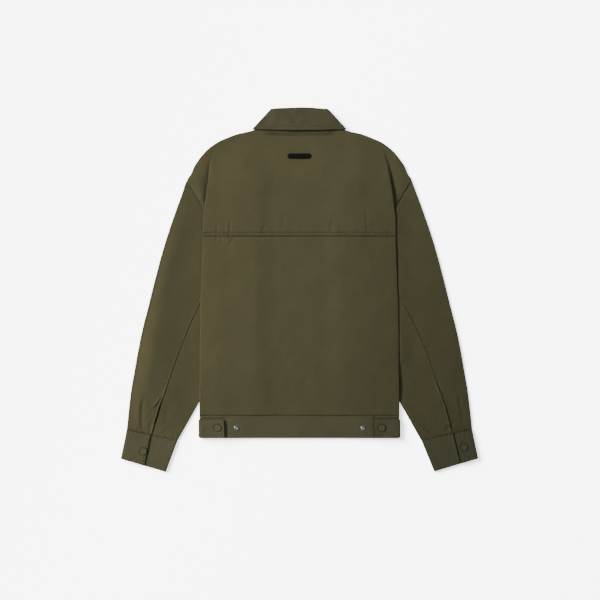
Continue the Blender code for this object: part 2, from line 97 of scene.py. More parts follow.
class Edge(Enum):
    """How a cloth wall's free edges end."""

    ROUND = 0.5
    CRISP = 0.25


# ---------------------------------------------------------------- small sums


def smooth(value: Array | float) -> Array:
    """Rise gently from 0 to 1.

    Args:
        value: where to read the step; below 0 it gives 0 and above 1 it gives 1.

    Returns:
        The step's height, of the same shape as value.
    """
    clipped = np.clip(value, 0.0, 1.0)
    return clipped * clipped * (3.0 - 2.0 * clipped)


def column(table: Table, index: int) -> Array:
    """One column of a table as an array."""
    return np.array([row[index] for row in table], dtype=float)


def curve(keys: Array, values: Array, at: Array | float) -> Array:
    """Read a smooth curve through a table's points without overshoot.

    Args:
        keys: where the points lie, rising or falling.
        values: the points' heights.
        at: where to read the curve.

    Returns:
        The curve's heights at those places.
    """
    order = np.argsort(keys)
    x, y = np.asarray(keys, float)[order], np.asarray(values, float)[order]
    steps, slopes = np.diff(x), np.diff(y) / np.diff(x)
    tangents = np.zeros_like(y)
    tangents[0], tangents[-1] = slopes[0], slopes[-1]
    same_way = slopes[:-1] * slopes[1:] > 0.0
    weights = np.where(same_way, slopes[:-1] + slopes[1:], 1.0)
    tangents[1:-1] = np.where(same_way, 2.0 * slopes[:-1] * slopes[1:] / weights, 0.0)
    read = np.clip(np.asarray(at, float), x[0], x[-1])
    cell = np.clip(np.searchsorted(x, read) - 1, 0, len(x) - 2)
    t = (read - x[cell]) / steps[cell]
    square, cube = t * t, t * t * t
    return ((2 * cube - 3 * square + 1) * y[cell] + (cube - 2 * square + t) * steps[cell] * tangents[cell]
            + (3 * square - 2 * cube) * y[cell + 1] + (cube - square) * steps[cell] * tangents[cell + 1])


# ---------------------------------------------------------------- folds and seams


@dataclass(frozen=True)
class Crease:
    """A soft ridge or trough along a bowed line, steeper on one side.

    Args:
        x0, y0, x1, y1: its two ends.
        width: its half width.
        height: its height, below zero for a trough.
        bow: how far its middle bows to its right.
        lean: share of the height that the trough beside it takes.
    """

    x0: float
    y0: float
    x1: float
    y1: float
    width: float
    height: float
    bow: float = 0.0
    lean: float = 0.45

    def __call__(self, x: Array, y: Array) -> Array:
        """Lift at each place."""
        dx, dy = self.x1 - self.x0, self.y1 - self.y0
        length = math.hypot(dx, dy)
        along = ((x - self.x0) * dx + (y - self.y0) * dy) / length ** 2
        across = ((x - self.x0) * dy - (y - self.y0) * dx) / length
        across = across - 4.0 * self.bow * along * (1.0 - along)
        taper = smooth(along / 0.3) * smooth((1.0 - along) / 0.3)
        ridge = np.exp(-(across / self.width) ** 2)
        beside = np.exp(-((across - 1.7 * self.width) / (1.3 * self.width)) ** 2)
        return self.height * taper * (ridge - self.lean * beside)


@dataclass(frozen=True)
class Drape:
    """Broad uneven swells of cloth that lies loose: a sum of seeded waves.

    Args:
        height: about how high the swells are.
        shortest: the shortest wave.
        longest: the longest wave.
        seed: which waves.
        grain: the heading that the waves' crests keep to, in degrees from +Y.
        spread: how far they stray from it, in degrees.
        count: how many waves are summed.
    """

    height: float
    shortest: float
    longest: float
    seed: int
    grain: float = 0.0
    spread: float = 90.0
    count: int = 26

    def __call__(self, x: Array, y: Array) -> Array:
        """Lift at each place."""
        draw = np.random.default_rng(self.seed)
        total = np.zeros_like(np.asarray(x, float))
        for _ in range(self.count):
            length = math.exp(draw.uniform(math.log(self.shortest), math.log(self.longest)))
            heading = math.radians(self.grain + draw.uniform(-self.spread, self.spread))
            phase = draw.uniform(0.0, 2.0 * math.pi)
            total += np.sin((x * math.cos(heading) + y * math.sin(heading)) * 2.0 * math.pi / length + phase)
        return self.height * total / math.sqrt(self.count)


@dataclass(frozen=True)
class SeamRelief:
    """What sewing does to the cloth beside a seam: a ridge, dented stitch rows, puckers.

    Args:
        path: the seam's points; the ridge lies on the left as they run.
        ridge: how wide the folded allowance is.
        height: how high it stands.
        stitches: how far from the seam each row of stitching runs.
        pucker: height of the puckers that the stitching draws up.
        reach: how far they fade over.
        seed: which puckers.
        dent: depth of the stitching's dents.
        groove: depth of the groove along the seam itself.
    """

    path: tuple
    ridge: float = 8.0
    height: float = 0.6
    stitches: tuple = (4.5,)
    pucker: float = 0.22
    reach: float = 9.0
    seed: int = 1
    dent: float = 0.6
    groove: float = 0.0

    def near(self, x: Array, y: Array) -> tuple[Array, Array]:
        """Signed distance from the seam, left above zero, and the place along it."""
        points = np.array(self.path, float)
        best = np.full(np.shape(x), 1e9)
        signed = np.zeros(np.shape(x))
        place = np.zeros(np.shape(x))
        run = 0.0
        for (ax, ay), (bx, by) in zip(points[:-1], points[1:]):
            dx, dy = bx - ax, by - ay
            length = math.hypot(dx, dy)
            along = np.clip(((x - ax) * dx + (y - ay) * dy) / length ** 2, 0.0, 1.0)
            gap = np.hypot(x - ax - along * dx, y - ay - along * dy)
            side = np.sign(dx * (y - ay) - dy * (x - ax))
            nearer = gap < best
            best = np.where(nearer, gap, best)
            signed = np.where(nearer, gap * side, signed)
            place = np.where(nearer, run + along * length, place)
            run += length
        return signed, place

    def __call__(self, x: Array, y: Array) -> Array:
        """Lift at each place."""
        distance, place = self.near(x, y)
        ridge = smooth((distance + 1.0) / 2.0) * smooth((self.ridge - distance) / 3.0)
        dents = sum(np.exp(-((distance - row) / 1.3) ** 2) for row in self.stitches)
        draw = np.random.default_rng(self.seed)
        ripple = np.zeros_like(place)
        for _ in range(7):
            length = draw.uniform(7.5, 22.0)
            ripple += np.sin(place * 2.0 * math.pi / length + draw.uniform(0.0, 6.28)) / 1.9
        slow = 0.6 + 0.4 * np.sin(place * 2.0 * math.pi / 83.0 + self.seed)
        puckers = self.pucker * ripple * slow * np.exp(-np.abs(distance) / self.reach)
        groove = self.groove * np.exp(-(distance / 1.1) ** 2)
        return self.height * ridge - self.dent * dents - groove + puckers


def lifted(parts: Sequence[Lift], x: Array, y: Array) -> Array:
    """The sum of several lifts."""
    total = np.zeros_like(np.asarray(x, float))
    for part in parts:
        total = total + part(x, y)
    return total


# ---------------------------------------------------------------- finishes


def fill(tree: Nodes, node: bpy.types.Node, values: dict) -> None:
    """Give a node's inputs their values, or join them to sockets.

    Args:
        tree: the nodes it belongs to.
        node: the node.
        values: a number, a colour or a socket for each input's name or place.
    """
    for key, value in values.items():
        if isinstance(value, Socket):
            tree.links.new(value, node.inputs[key])
        else:
            node.inputs[key].default_value = value


def add(tree: Nodes, kind: str, values: dict, **settings: str) -> bpy.types.Node:
    """Add a node of a kind, with its inputs' values and its own settings."""
    node = tree.nodes.new(f"ShaderNode{kind}")
    for key, value in settings.items():
        setattr(node, key, value)
    fill(tree, node, values)
    return node


def noise(tree: Nodes, place: Socket, size: float, detail: float) -> Socket:
    """Even noise whose blotches are about size millimetres."""
    values = {"Scale": 1.0 / (size * MM), "Detail": detail, "Vector": place}
    return add(tree, "TexNoise", values).outputs["Fac"]


def mixed(tree: Nodes, share: Socket, colour_a: object, colour_b: object) -> Socket:
    """Blend two colours, each a socket or a plain colour, by a socket."""
    both = [(*value, 1.0) if isinstance(value, tuple) else value for value in (colour_a, colour_b)]
    mix = add(tree, "Mix", {}, data_type="RGBA")
    fill(tree, mix, {"Factor": share, 6: both[0], 7: both[1]})
    return mix.outputs[2]


def new_material(name: str) -> tuple[Material, Nodes, bpy.types.Node, Socket]:
    """A new material with its nodes, its shader and the place on the piece."""
    finish = bpy.data.materials.new(name)
    finish.use_nodes = True
    tree = finish.node_tree
    place = tree.nodes.new("ShaderNodeTexCoord").outputs["Object"]
    return finish, tree, tree.nodes["Principled BSDF"], place


@dataclass(frozen=True)
class TwillFinish:
    """Matt cotton twill: fine diagonal ribs, crossing threads, fibre and uneven dye, with a painted
    highlight where the cloth stands up and painted shade where it is sunk.

    Args:
        name: the material's name.
        colour: the cloth's main colour.
        dark: how much darker the uneven dye goes, as a share.
        rib: spacing of the diagonal ribs, in millimetres.
        thread: spacing of the threads across them, in millimetres.
        blotch, slub, fuzz: sizes of the uneven dye, the thick threads and the loose fibres.
        roughness: its roughness.
        sheen: how strongly its loose fibres catch the light.
    """

    name: str
    colour: tuple[float, float, float]
    dark: float = 0.05
    rib: float = 0.95
    thread: float = 0.62
    blotch: float = 55.0
    slub: float = 1.7
    fuzz: float = 2.6
    roughness: float = 0.86
    sheen: float = 0.06

    def wave(self, tree: Nodes, place: Socket, pitch: float, turn: float) -> Socket:
        """A row of even ribs.

        Args:
            tree: the material's nodes.
            place: where the ribs are read.
            pitch: their spacing in millimetres.
            turn: their heading in degrees.

        Returns:
            A socket that swings between 0 and 1 across each rib.
        """
        turned = add(tree, "Mapping", {"Rotation": (0.0, 0.0, math.radians(turn)), "Vector": place})
        values = {"Scale": 2.0 * math.pi / (20.0 * pitch * MM), "Distortion": 0.6, "Detail": 1.0,
                  "Detail Scale": 1.4, "Vector": turned.outputs["Vector"]}
        return add(tree, "TexWave", values, wave_type="BANDS", bands_direction="X").outputs["Fac"]

    def blend(self, tree: Nodes, share: Socket, colours: tuple, low: float, high: float) -> Socket:
        """Blend two colours by a socket, whose range low to high is stretched to 0 to 1."""
        spread = add(tree, "MapRange", {"From Min": low, "From Max": high, "Value": share})
        return mixed(tree, spread.outputs["Result"], *colours)

    def tone(self, times: float) -> tuple:
        """The main colour, made lighter or darker."""
        return tuple(part * times for part in self.colour)

    def make(self) -> Material:
        """The material with its nodes."""
        finish, tree, shader, place = new_material(self.name)
        dyes = self.tone(1.0 - self.dark), self.tone(1.0 + 0.5 * self.dark)
        dye = self.blend(tree, noise(tree, place, self.blotch, 4.0), dyes, 0.3, 0.7)
        ribs = self.wave(tree, place, self.rib, 45.0)
        threads = self.wave(tree, place, self.thread, 0.0)
        cloth = self.blend(tree, ribs, (self.tone(0.72), dye), -0.6, 0.45)
        cloth = self.blend(tree, noise(tree, place, self.slub, 2.0), (cloth, self.tone(1.22)), 0.62, 1.15)
        # Painted light: each point's lift lightens the cloth as a painted highlight where it stands up, and
        # darkens it as a painted shade where it is sunk.
        painted_shading = add(tree, "Attribute", {}, attribute_name="painted_shading").outputs["Fac"]
        cloth = self.blend(tree, painted_shading, (cloth, self.tone(1.4)), 0.0, 2.2)
        cloth = self.blend(tree, painted_shading, (self.tone(0.3), cloth), -1.0, -0.06)
        height = add(tree, "Math", {}, operation="MULTIPLY_ADD")
        fill(tree, height, {0: threads, 1: 0.35, 2: ribs})
        bump = add(tree, "Bump", {"Strength": 0.55, "Distance": 0.16 * MM, "Height": height.outputs[0]})
        fuzz = add(tree, "Bump", {"Strength": 0.35, "Distance": 0.3 * MM,
                                  "Height": noise(tree, place, self.fuzz, 3.0),
                                  "Normal": bump.outputs["Normal"]})
        fill(tree, shader, {"Base Color": cloth, "Normal": fuzz.outputs["Normal"],
                            "Roughness": self.roughness, "Specular IOR Level": 0.14,
                            "Sheen Weight": self.sheen, "Sheen Roughness": 0.5})
        return finish


@dataclass(frozen=True)
class PlainFinish:
    """A finish with a fine grain and uneven gloss: paint, metal, moulded rubber or thread.

    Args:
        name: the material's name.
        colour: its colour.
        roughness: its roughness.
        metallic: 1 for bare metal.
        grain: size of its fine grain, in millimetres.
        depth: how deep that grain is, in millimetres.
        vary: how much its colour varies, as a share.
        specular: strength of its gloss.
    """

    name: str
    colour: tuple[float, float, float]
    roughness: float
    metallic: float = 0.0
    grain: float = 0.8
    depth: float = 0.03
    vary: float = 0.12
    specular: float = 0.5

    def make(self) -> Material:
        """The material with its nodes."""
        finish, tree, shader, place = new_material(self.name)
        grain = noise(tree, place, self.grain, 3.0)
        colours = (tuple(min(part * (1.0 + vary), 1.0) for part in self.colour)
                   for vary in (-self.vary, self.vary))
        gloss = add(tree, "MapRange", {"To Min": self.roughness - 0.06, "To Max": self.roughness + 0.06,
                                       "Value": grain})
        bump = add(tree, "Bump", {"Strength": 0.5, "Distance": self.depth * MM, "Height": grain})
        fill(tree, shader, {"Base Color": mixed(tree, grain, *colours), "Roughness": gloss.outputs["Result"],
                            "Normal": bump.outputs["Normal"], "Metallic": self.metallic,
                            "Specular IOR Level": self.specular})
        return finish


# ---------------------------------------------------------------- cloth walls


def unit(vectors: Array) -> Array:
    """Vectors of length 1."""
    return vectors / np.maximum(np.linalg.norm(vectors, axis=-1, keepdims=True), 1e-9)


def mesh_piece(name: str, points: Array, faces: list, finish: Material,
               painted_shading: Array | None = None) -> Piece:
    """A smooth-shaded mesh piece.

    Args:
        name: the piece's name.
        points: its points, in millimetres.
        faces: its faces.
        finish: its material.
        painted_shading: painted light per point: above 0 a painted highlight, below 0 a painted shade.

    Returns:
        The new piece, linked into the scene.
    """
    mesh = bpy.data.meshes.new(name)
    mesh.from_pydata(((points + OFFSET) * MM).tolist(), [], faces)
    mesh.update()
    mesh.shade_smooth()
    mesh.materials.append(finish)
    # Store each point's painted highlight and painted shade for the cloth's material.
    if painted_shading is not None:
        layer = mesh.attributes.new("painted_shading", "FLOAT", "POINT")
        layer.data.foreach_set("value", painted_shading.astype(np.float32))
    piece = bpy.data.objects.new(name, mesh)
    bpy.context.scene.collection.objects.link(piece)
    return piece


@dataclass
class ClothWall:
    """One sewn piece: a grid of middle points, made into a wall with soft edges.

    Args:
        name: the piece's name.
        grid: middle points, rows by columns by 3; its top face looks up.
        thickness: the cloth's thickness.
        folds: lifts that move the whole cloth.
        relief: lifts of the outer face alone.
        edge: how its free edges end.
        flip: whether its rows and columns run so that the top face would look down.
    """

    name: str
    grid: Array
    thickness: float
    folds: Sequence[Lift] = ()
    relief: Sequence[Lift] = ()
    edge: Edge = Edge.ROUND
    flip: bool = False

    def normals(self, grid: Array) -> Array:
        """Outward normals of a grid's points."""
        across = np.gradient(grid, axis=1)
        along = np.gradient(grid, axis=0)
        normal = unit(np.cross(across, along))
        return -normal if self.flip else normal

    def settle(self) -> Array:
        """The middle points with the folds put in, drawn in a little at the free edges."""
        grid = self.grid.copy()
        inset = self.thickness * self.edge.value
        for axis in (0, 1):
            ends = np.moveaxis(grid, axis, 0)
            for end, inside in ((0, 1), (-1, -2)):
                step = ends[inside] - ends[end]
                length = np.linalg.norm(step, axis=-1, keepdims=True)
                ends[end] = ends[end] + step * np.minimum(inset / np.maximum(length, 1e-9), 0.8)
        if self.folds:
            normal = self.normals(grid)
            up = smooth((normal[..., 2] - 0.1) / 0.6)
            grid = grid + (up * lifted(self.folds, grid[..., 0], grid[..., 1]))[..., None] * normal
        return grid

    def make(self, finish: Material) -> Piece:
        """Build the wall.

        Args:
            finish: its material.

        Returns:
            The piece.
        """
        grid = self.settle()
        rows, columns = grid.shape[:2]
        normal = self.normals(grid)
        lift = lifted(self.relief, grid[..., 0], grid[..., 1]) * smooth((normal[..., 2] - 0.1) / 0.6)
        lift = np.maximum(lift, -0.8 * self.thickness)
        half = self.thickness / 2.0
        outer = grid + normal * (half + lift)[..., None]
        inner = grid - normal * half
        count = rows * columns
        index = np.arange(count).reshape(rows, columns)
        ring = np.concatenate([index[0, :-1], index[:-1, -1], index[-1, :0:-1], index[:0:-1, 0]])
        flat = grid.reshape(-1, 3)
        inward = np.zeros_like(flat)
        for axis in (0, 1):
            ends, pull = np.moveaxis(grid, axis, 0), np.moveaxis(inward.reshape(grid.shape), axis, 0)
            pull[0] += unit(ends[1] - ends[0])
            pull[-1] += unit(ends[-2] - ends[-1])
        rim = flat[ring] - unit(inward[ring]) * self.thickness * self.edge.value
        points = np.concatenate([outer.reshape(-1, 3), inner.reshape(-1, 3), rim])
        a, b = index[:-1, :-1].ravel(), index[:-1, 1:].ravel()
        c, d = index[1:, 1:].ravel(), index[1:, :-1].ravel()
        top = np.stack([a, b, c, d], axis=1)
        low = np.stack([d, c, b, a], axis=1) + count
        middle = np.arange(len(ring)) + 2 * count
        after, ring_after = np.roll(middle, -1), np.roll(ring, -1)
        sides_a = np.stack([ring_after, ring, middle, after], axis=1)
        sides_b = np.stack([after, middle, ring + count, ring_after + count], axis=1)
        faces = np.concatenate([top, low, sides_a, sides_b])
        if self.flip:
            faces = faces[:, ::-1]
        # Painted light: raised parts of the outer face get a painted highlight and sunk parts a painted
        # shade; the inner face gets none, and the rims a faint painted highlight.
        painted_by_lift = np.clip(lift.ravel() * np.where(lift.ravel() > 0.0, 0.4, 0.7), -1.0, 1.0)
        painted_shading_values = np.concatenate([painted_by_lift, np.zeros(count), np.full(len(ring), 0.3)])
        return mesh_piece(self.name, points, faces.tolist(), finish, painted_shading_values)


def dress(piece: Piece, nodes: Sequence[str] = ()) -> Piece:
    """Tie a piece to the frame: its body and the nodes it stands for."""
    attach(piece, BODY)
    if nodes:
        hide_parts(*nodes)
    LOG.info("%s: %d faces", piece.name, len(piece.data.polygons) if piece.type == "MESH" else 0)
    return piece


# ---------------------------------------------------------------- stitching


@dataclass
class Probe:
    """Finds the top of some pieces at any place."""

    pieces: Sequence[Piece]
    trees: list = field(default_factory=list)

    def __post_init__(self) -> None:
        """Index the pieces' faces."""
        for piece in self.pieces:
            mesh = piece.data
            points = [vertex.co for vertex in mesh.vertices]
            self.trees.append(BVHTree.FromPolygons(points, [face.vertices for face in mesh.polygons]))

    def top(self, x: float, y: float) -> tuple[float, Vector] | None:
        """Height of the top at a place in millimetres, and its normal; None off the pieces."""
        best = None
        for tree in self.trees:
            above = Vector(((x + OFFSET[0]) * MM, (y + OFFSET[1]) * MM, 0.1))
            hit, normal, _, _ = tree.ray_cast(above, Vector((0.0, 0.0, -1.0)))
            if hit is not None and (best is None or hit.z / MM > best[0]):
                best = (hit.z / MM, normal)
        return best


@dataclass
class Thread:
    """Rows of topstitching: each stitch is a short plump strand that dips at both ends.

    Args:
        name: the piece's name.
        pitch: from one stitch to the next.
        radius: the thread's radius.
        rows: the paths to be stitched.
    """

    name: str
    pitch: float = STITCH
    radius: float = 0.42
    rows: list = field(default_factory=list)

    def sew(self, path: Sequence[tuple[float, float]], probe: Probe) -> None:
        """Add a row of stitches along a path of places on a piece.

        Args:
            path: its points, in millimetres.
            probe: what it is sewn on.
        """
        points = np.array(path, float)
        runs = np.concatenate([[0.0], np.cumsum(np.linalg.norm(np.diff(points, axis=0), axis=1))])
        for number in range(int(runs[-1] / self.pitch)):
            ends = [(number + share) * self.pitch for share in (0.14, 0.46, 0.78)]
            places = [tuple(np.interp(run, runs, points[:, axis]) for axis in (0, 1)) for run in ends]
            tops = [probe.top(x, y) for x, y in places]
            if all(tops) and max(top[0] for top in tops) - min(top[0] for top in tops) < 1.2:
                self.rows.append([Vector((x, y, top[0])) for (x, y), top in zip(places, tops)])

    def make(self, finish: Material) -> Piece:
        """Build all the stitches as one piece."""
        sides = 6
        points, faces = [], []
        dips = (-0.25, 0.1, 0.1, -0.25)
        sizes = (0.45, 1.0, 1.0, 0.45)
        for start, middle, end in self.rows:
            line = (end - start).normalized()
            across = line.cross(Vector((0.0, 0.0, 1.0))).normalized()
            up = across.cross(line)
            first = len(points)
            stops = (start, start.lerp(middle, 0.55), middle.lerp(end, 0.45), end)
            for stop, dip, size in zip(stops, dips, sizes):
                for step in range(sides):
                    angle = 2.0 * math.pi * step / sides
                    points.append(stop + up * dip + (across * math.cos(angle) + up * math.sin(angle))
                                  * self.radius * size)
            for ring in range(3):
                low = first + ring * sides
                for step in range(sides):
                    after = (step + 1) % sides
                    faces.append((low + step, low + after, low + sides + after, low + sides + step))
            faces.append(tuple(first + step for step in reversed(range(sides))))
            faces.append(tuple(first + 3 * sides + step for step in range(sides)))
        return mesh_piece(self.name, np.array([tuple(point) for point in points]), faces, finish)


# ---------------------------------------------------------------- the body

YOKE_ROWS = (
    # y, half_width, pleat_x, turn_deg, middle, edge_turn_deg
    (367.0, 88.0, 60.0, 0.0, 2.0, 60.0),
    (362.0, 97.0, 68.0, 0.0, 2.0, 90.0),
    (359.6, 104.5, 78.0, 0.0, 2.0, 90.0),
    (357.6, 110.0, 84.0, 0.0, 2.0, 90.0),
    (351.6, 138.4, 112.0, 0.0, 2.0, 90.0),
    (342.6, 163.1, 136.0, 0.0, 2.0, 90.0),
    (333.6, 183.4, 158.0, 0.0, 2.0, 90.0),
    (324.6, 196.9, 176.0, 2.0, 2.0, 90.0),
    (315.6, 208.1, 186.0, 5.0, 2.0, 90.0),
    (297.6, 223.9, 193.5, 14.0, 2.5, 90.0),
    (279.6, 236.2, 198.5, 34.0, 3.0, 90.0),
    (261.6, 244.1, 202.0, 76.0, 2.0, 90.0),
    (248.1, 251.6, 204.0, 118.0, 1.5, 40.0),
    (234.0, 243.7, 206.3, 150.0, 3.0, 5.0),
    (216.0, 233.3, 209.2, 180.0, 10.0, 5.0),
    (187.3, 216.7, 212.4, 180.0, 19.0, 5.0),
    (164.8, 203.6, 215.1, 180.0, 28.0, 5.0),
    (140.0, 189.3, 216.0, 180.0, 40.0, 5.0),
    (121.9, 178.8, 216.5, 180.0, 50.0, 5.0),
)

BACK_ROWS = (
    # y, fold_x, under_edge_x
    (121.6, 216.5, 179.0),
    (80.0, 218.2, 155.0),
    (40.0, 219.7, 131.9),
    (7.3, 220.7, 113.0),
    (-30.0, 222.5, 125.0),
    (-90.0, 223.2, 141.0),
    (-150.0, 223.8, 156.0),
    (-210.0, 224.3, 171.0),
    (-245.0, 224.6, 180.0),
    (-262.0, 224.8, 184.0),
    (-281.9, 224.9, 189.0),
)

SLEEVE_ROWS = (
    # outer_x, outer_y, inner_x, inner_y, seam_share_left, seam_share_right
    (252.2, 247.85, 112.7, 7.05, 0.619, 0.609),
    (277.2, 180.8, 129.0, -34.0, 0.606, 0.585),
    (301.8, 108.0, 147.8, -78.8, 0.588, 0.555),
    (322.1, 35.2, 167.1, -123.5, 0.563, 0.509),
    (338.9, -32.1, 185.1, -164.8, 0.536, 0.464),
    (355.7, -99.3, 204.0, -206.1, 0.526, 0.437),
    (368.5, -166.5, 223.5, -247.4, 0.511, 0.414),
    (379.7, -233.8, 246.2, -288.7, 0.500, 0.383),
    (388.6, -312.9, 274.1, -338.1, 0.494, 0.366),
)


@dataclass(frozen=True)
class Layers:
    """Heights of the cloth's layers above the floor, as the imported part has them."""

    cloth: float = 1.6
    seam: float = 0.3
    leaf: float = 1.8
    back_centre: float = 4.1
    neck_rise: float = 2.1
    side_rise: float = 2.9
    pleat_low: float = 3.4
    hollow_beneath: float = 0.7
    underarm_y: float = 7.3
    placket: float = 19.0
    placket_step: float = 10.0
    crown_rise: float = 7.0

    def crown(self, x: Array, y: Array) -> Array:
        """How far the air inside lifts the body: flat in the middle, sloping off at the sides."""
        sides = 1.0 - 0.68 * np.clip((np.abs(x) - 70.0) / 152.0, 0.0, 1.0) ** 2.2
        return self.crown_rise * sides * smooth((y + 281.0) / 120.0) * smooth((345.0 - y) / 125.0)

    def back(self, x: Array, y: Array) -> Array:
        """Middle height of the body's top layer."""
        across = np.abs(x)
        neck = smooth((y - 200.0) / 50.0) * smooth((180.0 - across) / 60.0)
        side = smooth((across - 50.0) / 55.0) * smooth((325.0 - y) / 110.0)
        side = side * (0.55 + 0.45 * smooth((y + 281.0) / 60.0))
        lying = self.back_centre + self.neck_rise * neck + self.side_rise * side + self.cloth / 2.0
        return lying + self.crown(x, y)

    def under(self, x: Array, y: Array) -> Array:
        """Middle height of the layer that is turned under at the body's sides."""
        inner = curve(column(SLEEVE_ROWS, 3), column(SLEEVE_ROWS, 2), y)
        on_front = 1.5 * self.cloth + self.seam
        on_sleeve = 2.5 * self.cloth + self.hollow_beneath + 2.0 * self.seam
        above = smooth((np.abs(x) - inner + 14.0) / 10.0)
        above = np.where(y > self.underarm_y, 1.0, np.where(y < -258.0, 0.0, above))
        return on_front + (on_sleeve - on_front) * above

    def front_rise(self, x: Array, y: Array, on_top: bool) -> Array:
        """How far a front is lifted by the collar leaf and by the other front's placket."""
        rise = (self.leaf + self.seam) * smooth((y - 228.0) / 24.0) * smooth((150.0 - np.abs(x)) / 24.0)
        if on_top:
            step = smooth((self.placket + self.placket_step - x) / (self.placket_step - 2.0))
            rise = rise + (self.cloth + self.seam) * step
        return rise

    def body_edge(self, y: Array) -> Array:
        """Where the body's folded edge lies over the sleeves."""
        low = curve(column(BACK_ROWS, 0), column(BACK_ROWS, 1), y)
        high = curve(column(YOKE_ROWS, 0), column(YOKE_ROWS, 2), y)
        return np.where(y < 121.6, low, high)


LAYERS = Layers()


def arc(heading: float, angle: float, length: float, steps: int) -> Array:
    """Points along an arc that starts at the origin.

    Args:
        heading: where it starts towards, in radians above +X.
        angle: how far it turns, in radians.
        length: its length.
        steps: how many steps it takes.

    Returns:
        Its points after the first, one x and z each.
    """
    headings = heading + angle * (np.arange(steps) + 0.5) / steps
    return np.cumsum(np.stack([np.cos(headings), np.sin(headings)], axis=1) * length / steps, axis=0)


def both_halves(right: Array, left: Array | None = None) -> Array:
    """A whole row from its right half, and its left half where that differs."""
    other = right if left is None else left
    mirrored = other[:0:-1] * np.array([-1.0, 1.0, 1.0])
    return np.concatenate([mirrored, right])


def armhole_bow(side: Side, y: Array) -> Array:
    """How far the armhole seam bows out from its straight line; the left one curves at its end."""
    if side is Side.RIGHT:
        return np.zeros_like(np.asarray(y, float))
    places = np.array((121.0, 135.0, 150.0, 165.0, 179.0, 188.0, 201.0, 216.0, 234.0, 250.0))
    return curve(places, np.array((0.0, 2.0, 6.0, 8.0, 3.6, 1.8, 0.0, 0.3, 2.0, 0.0)), y)


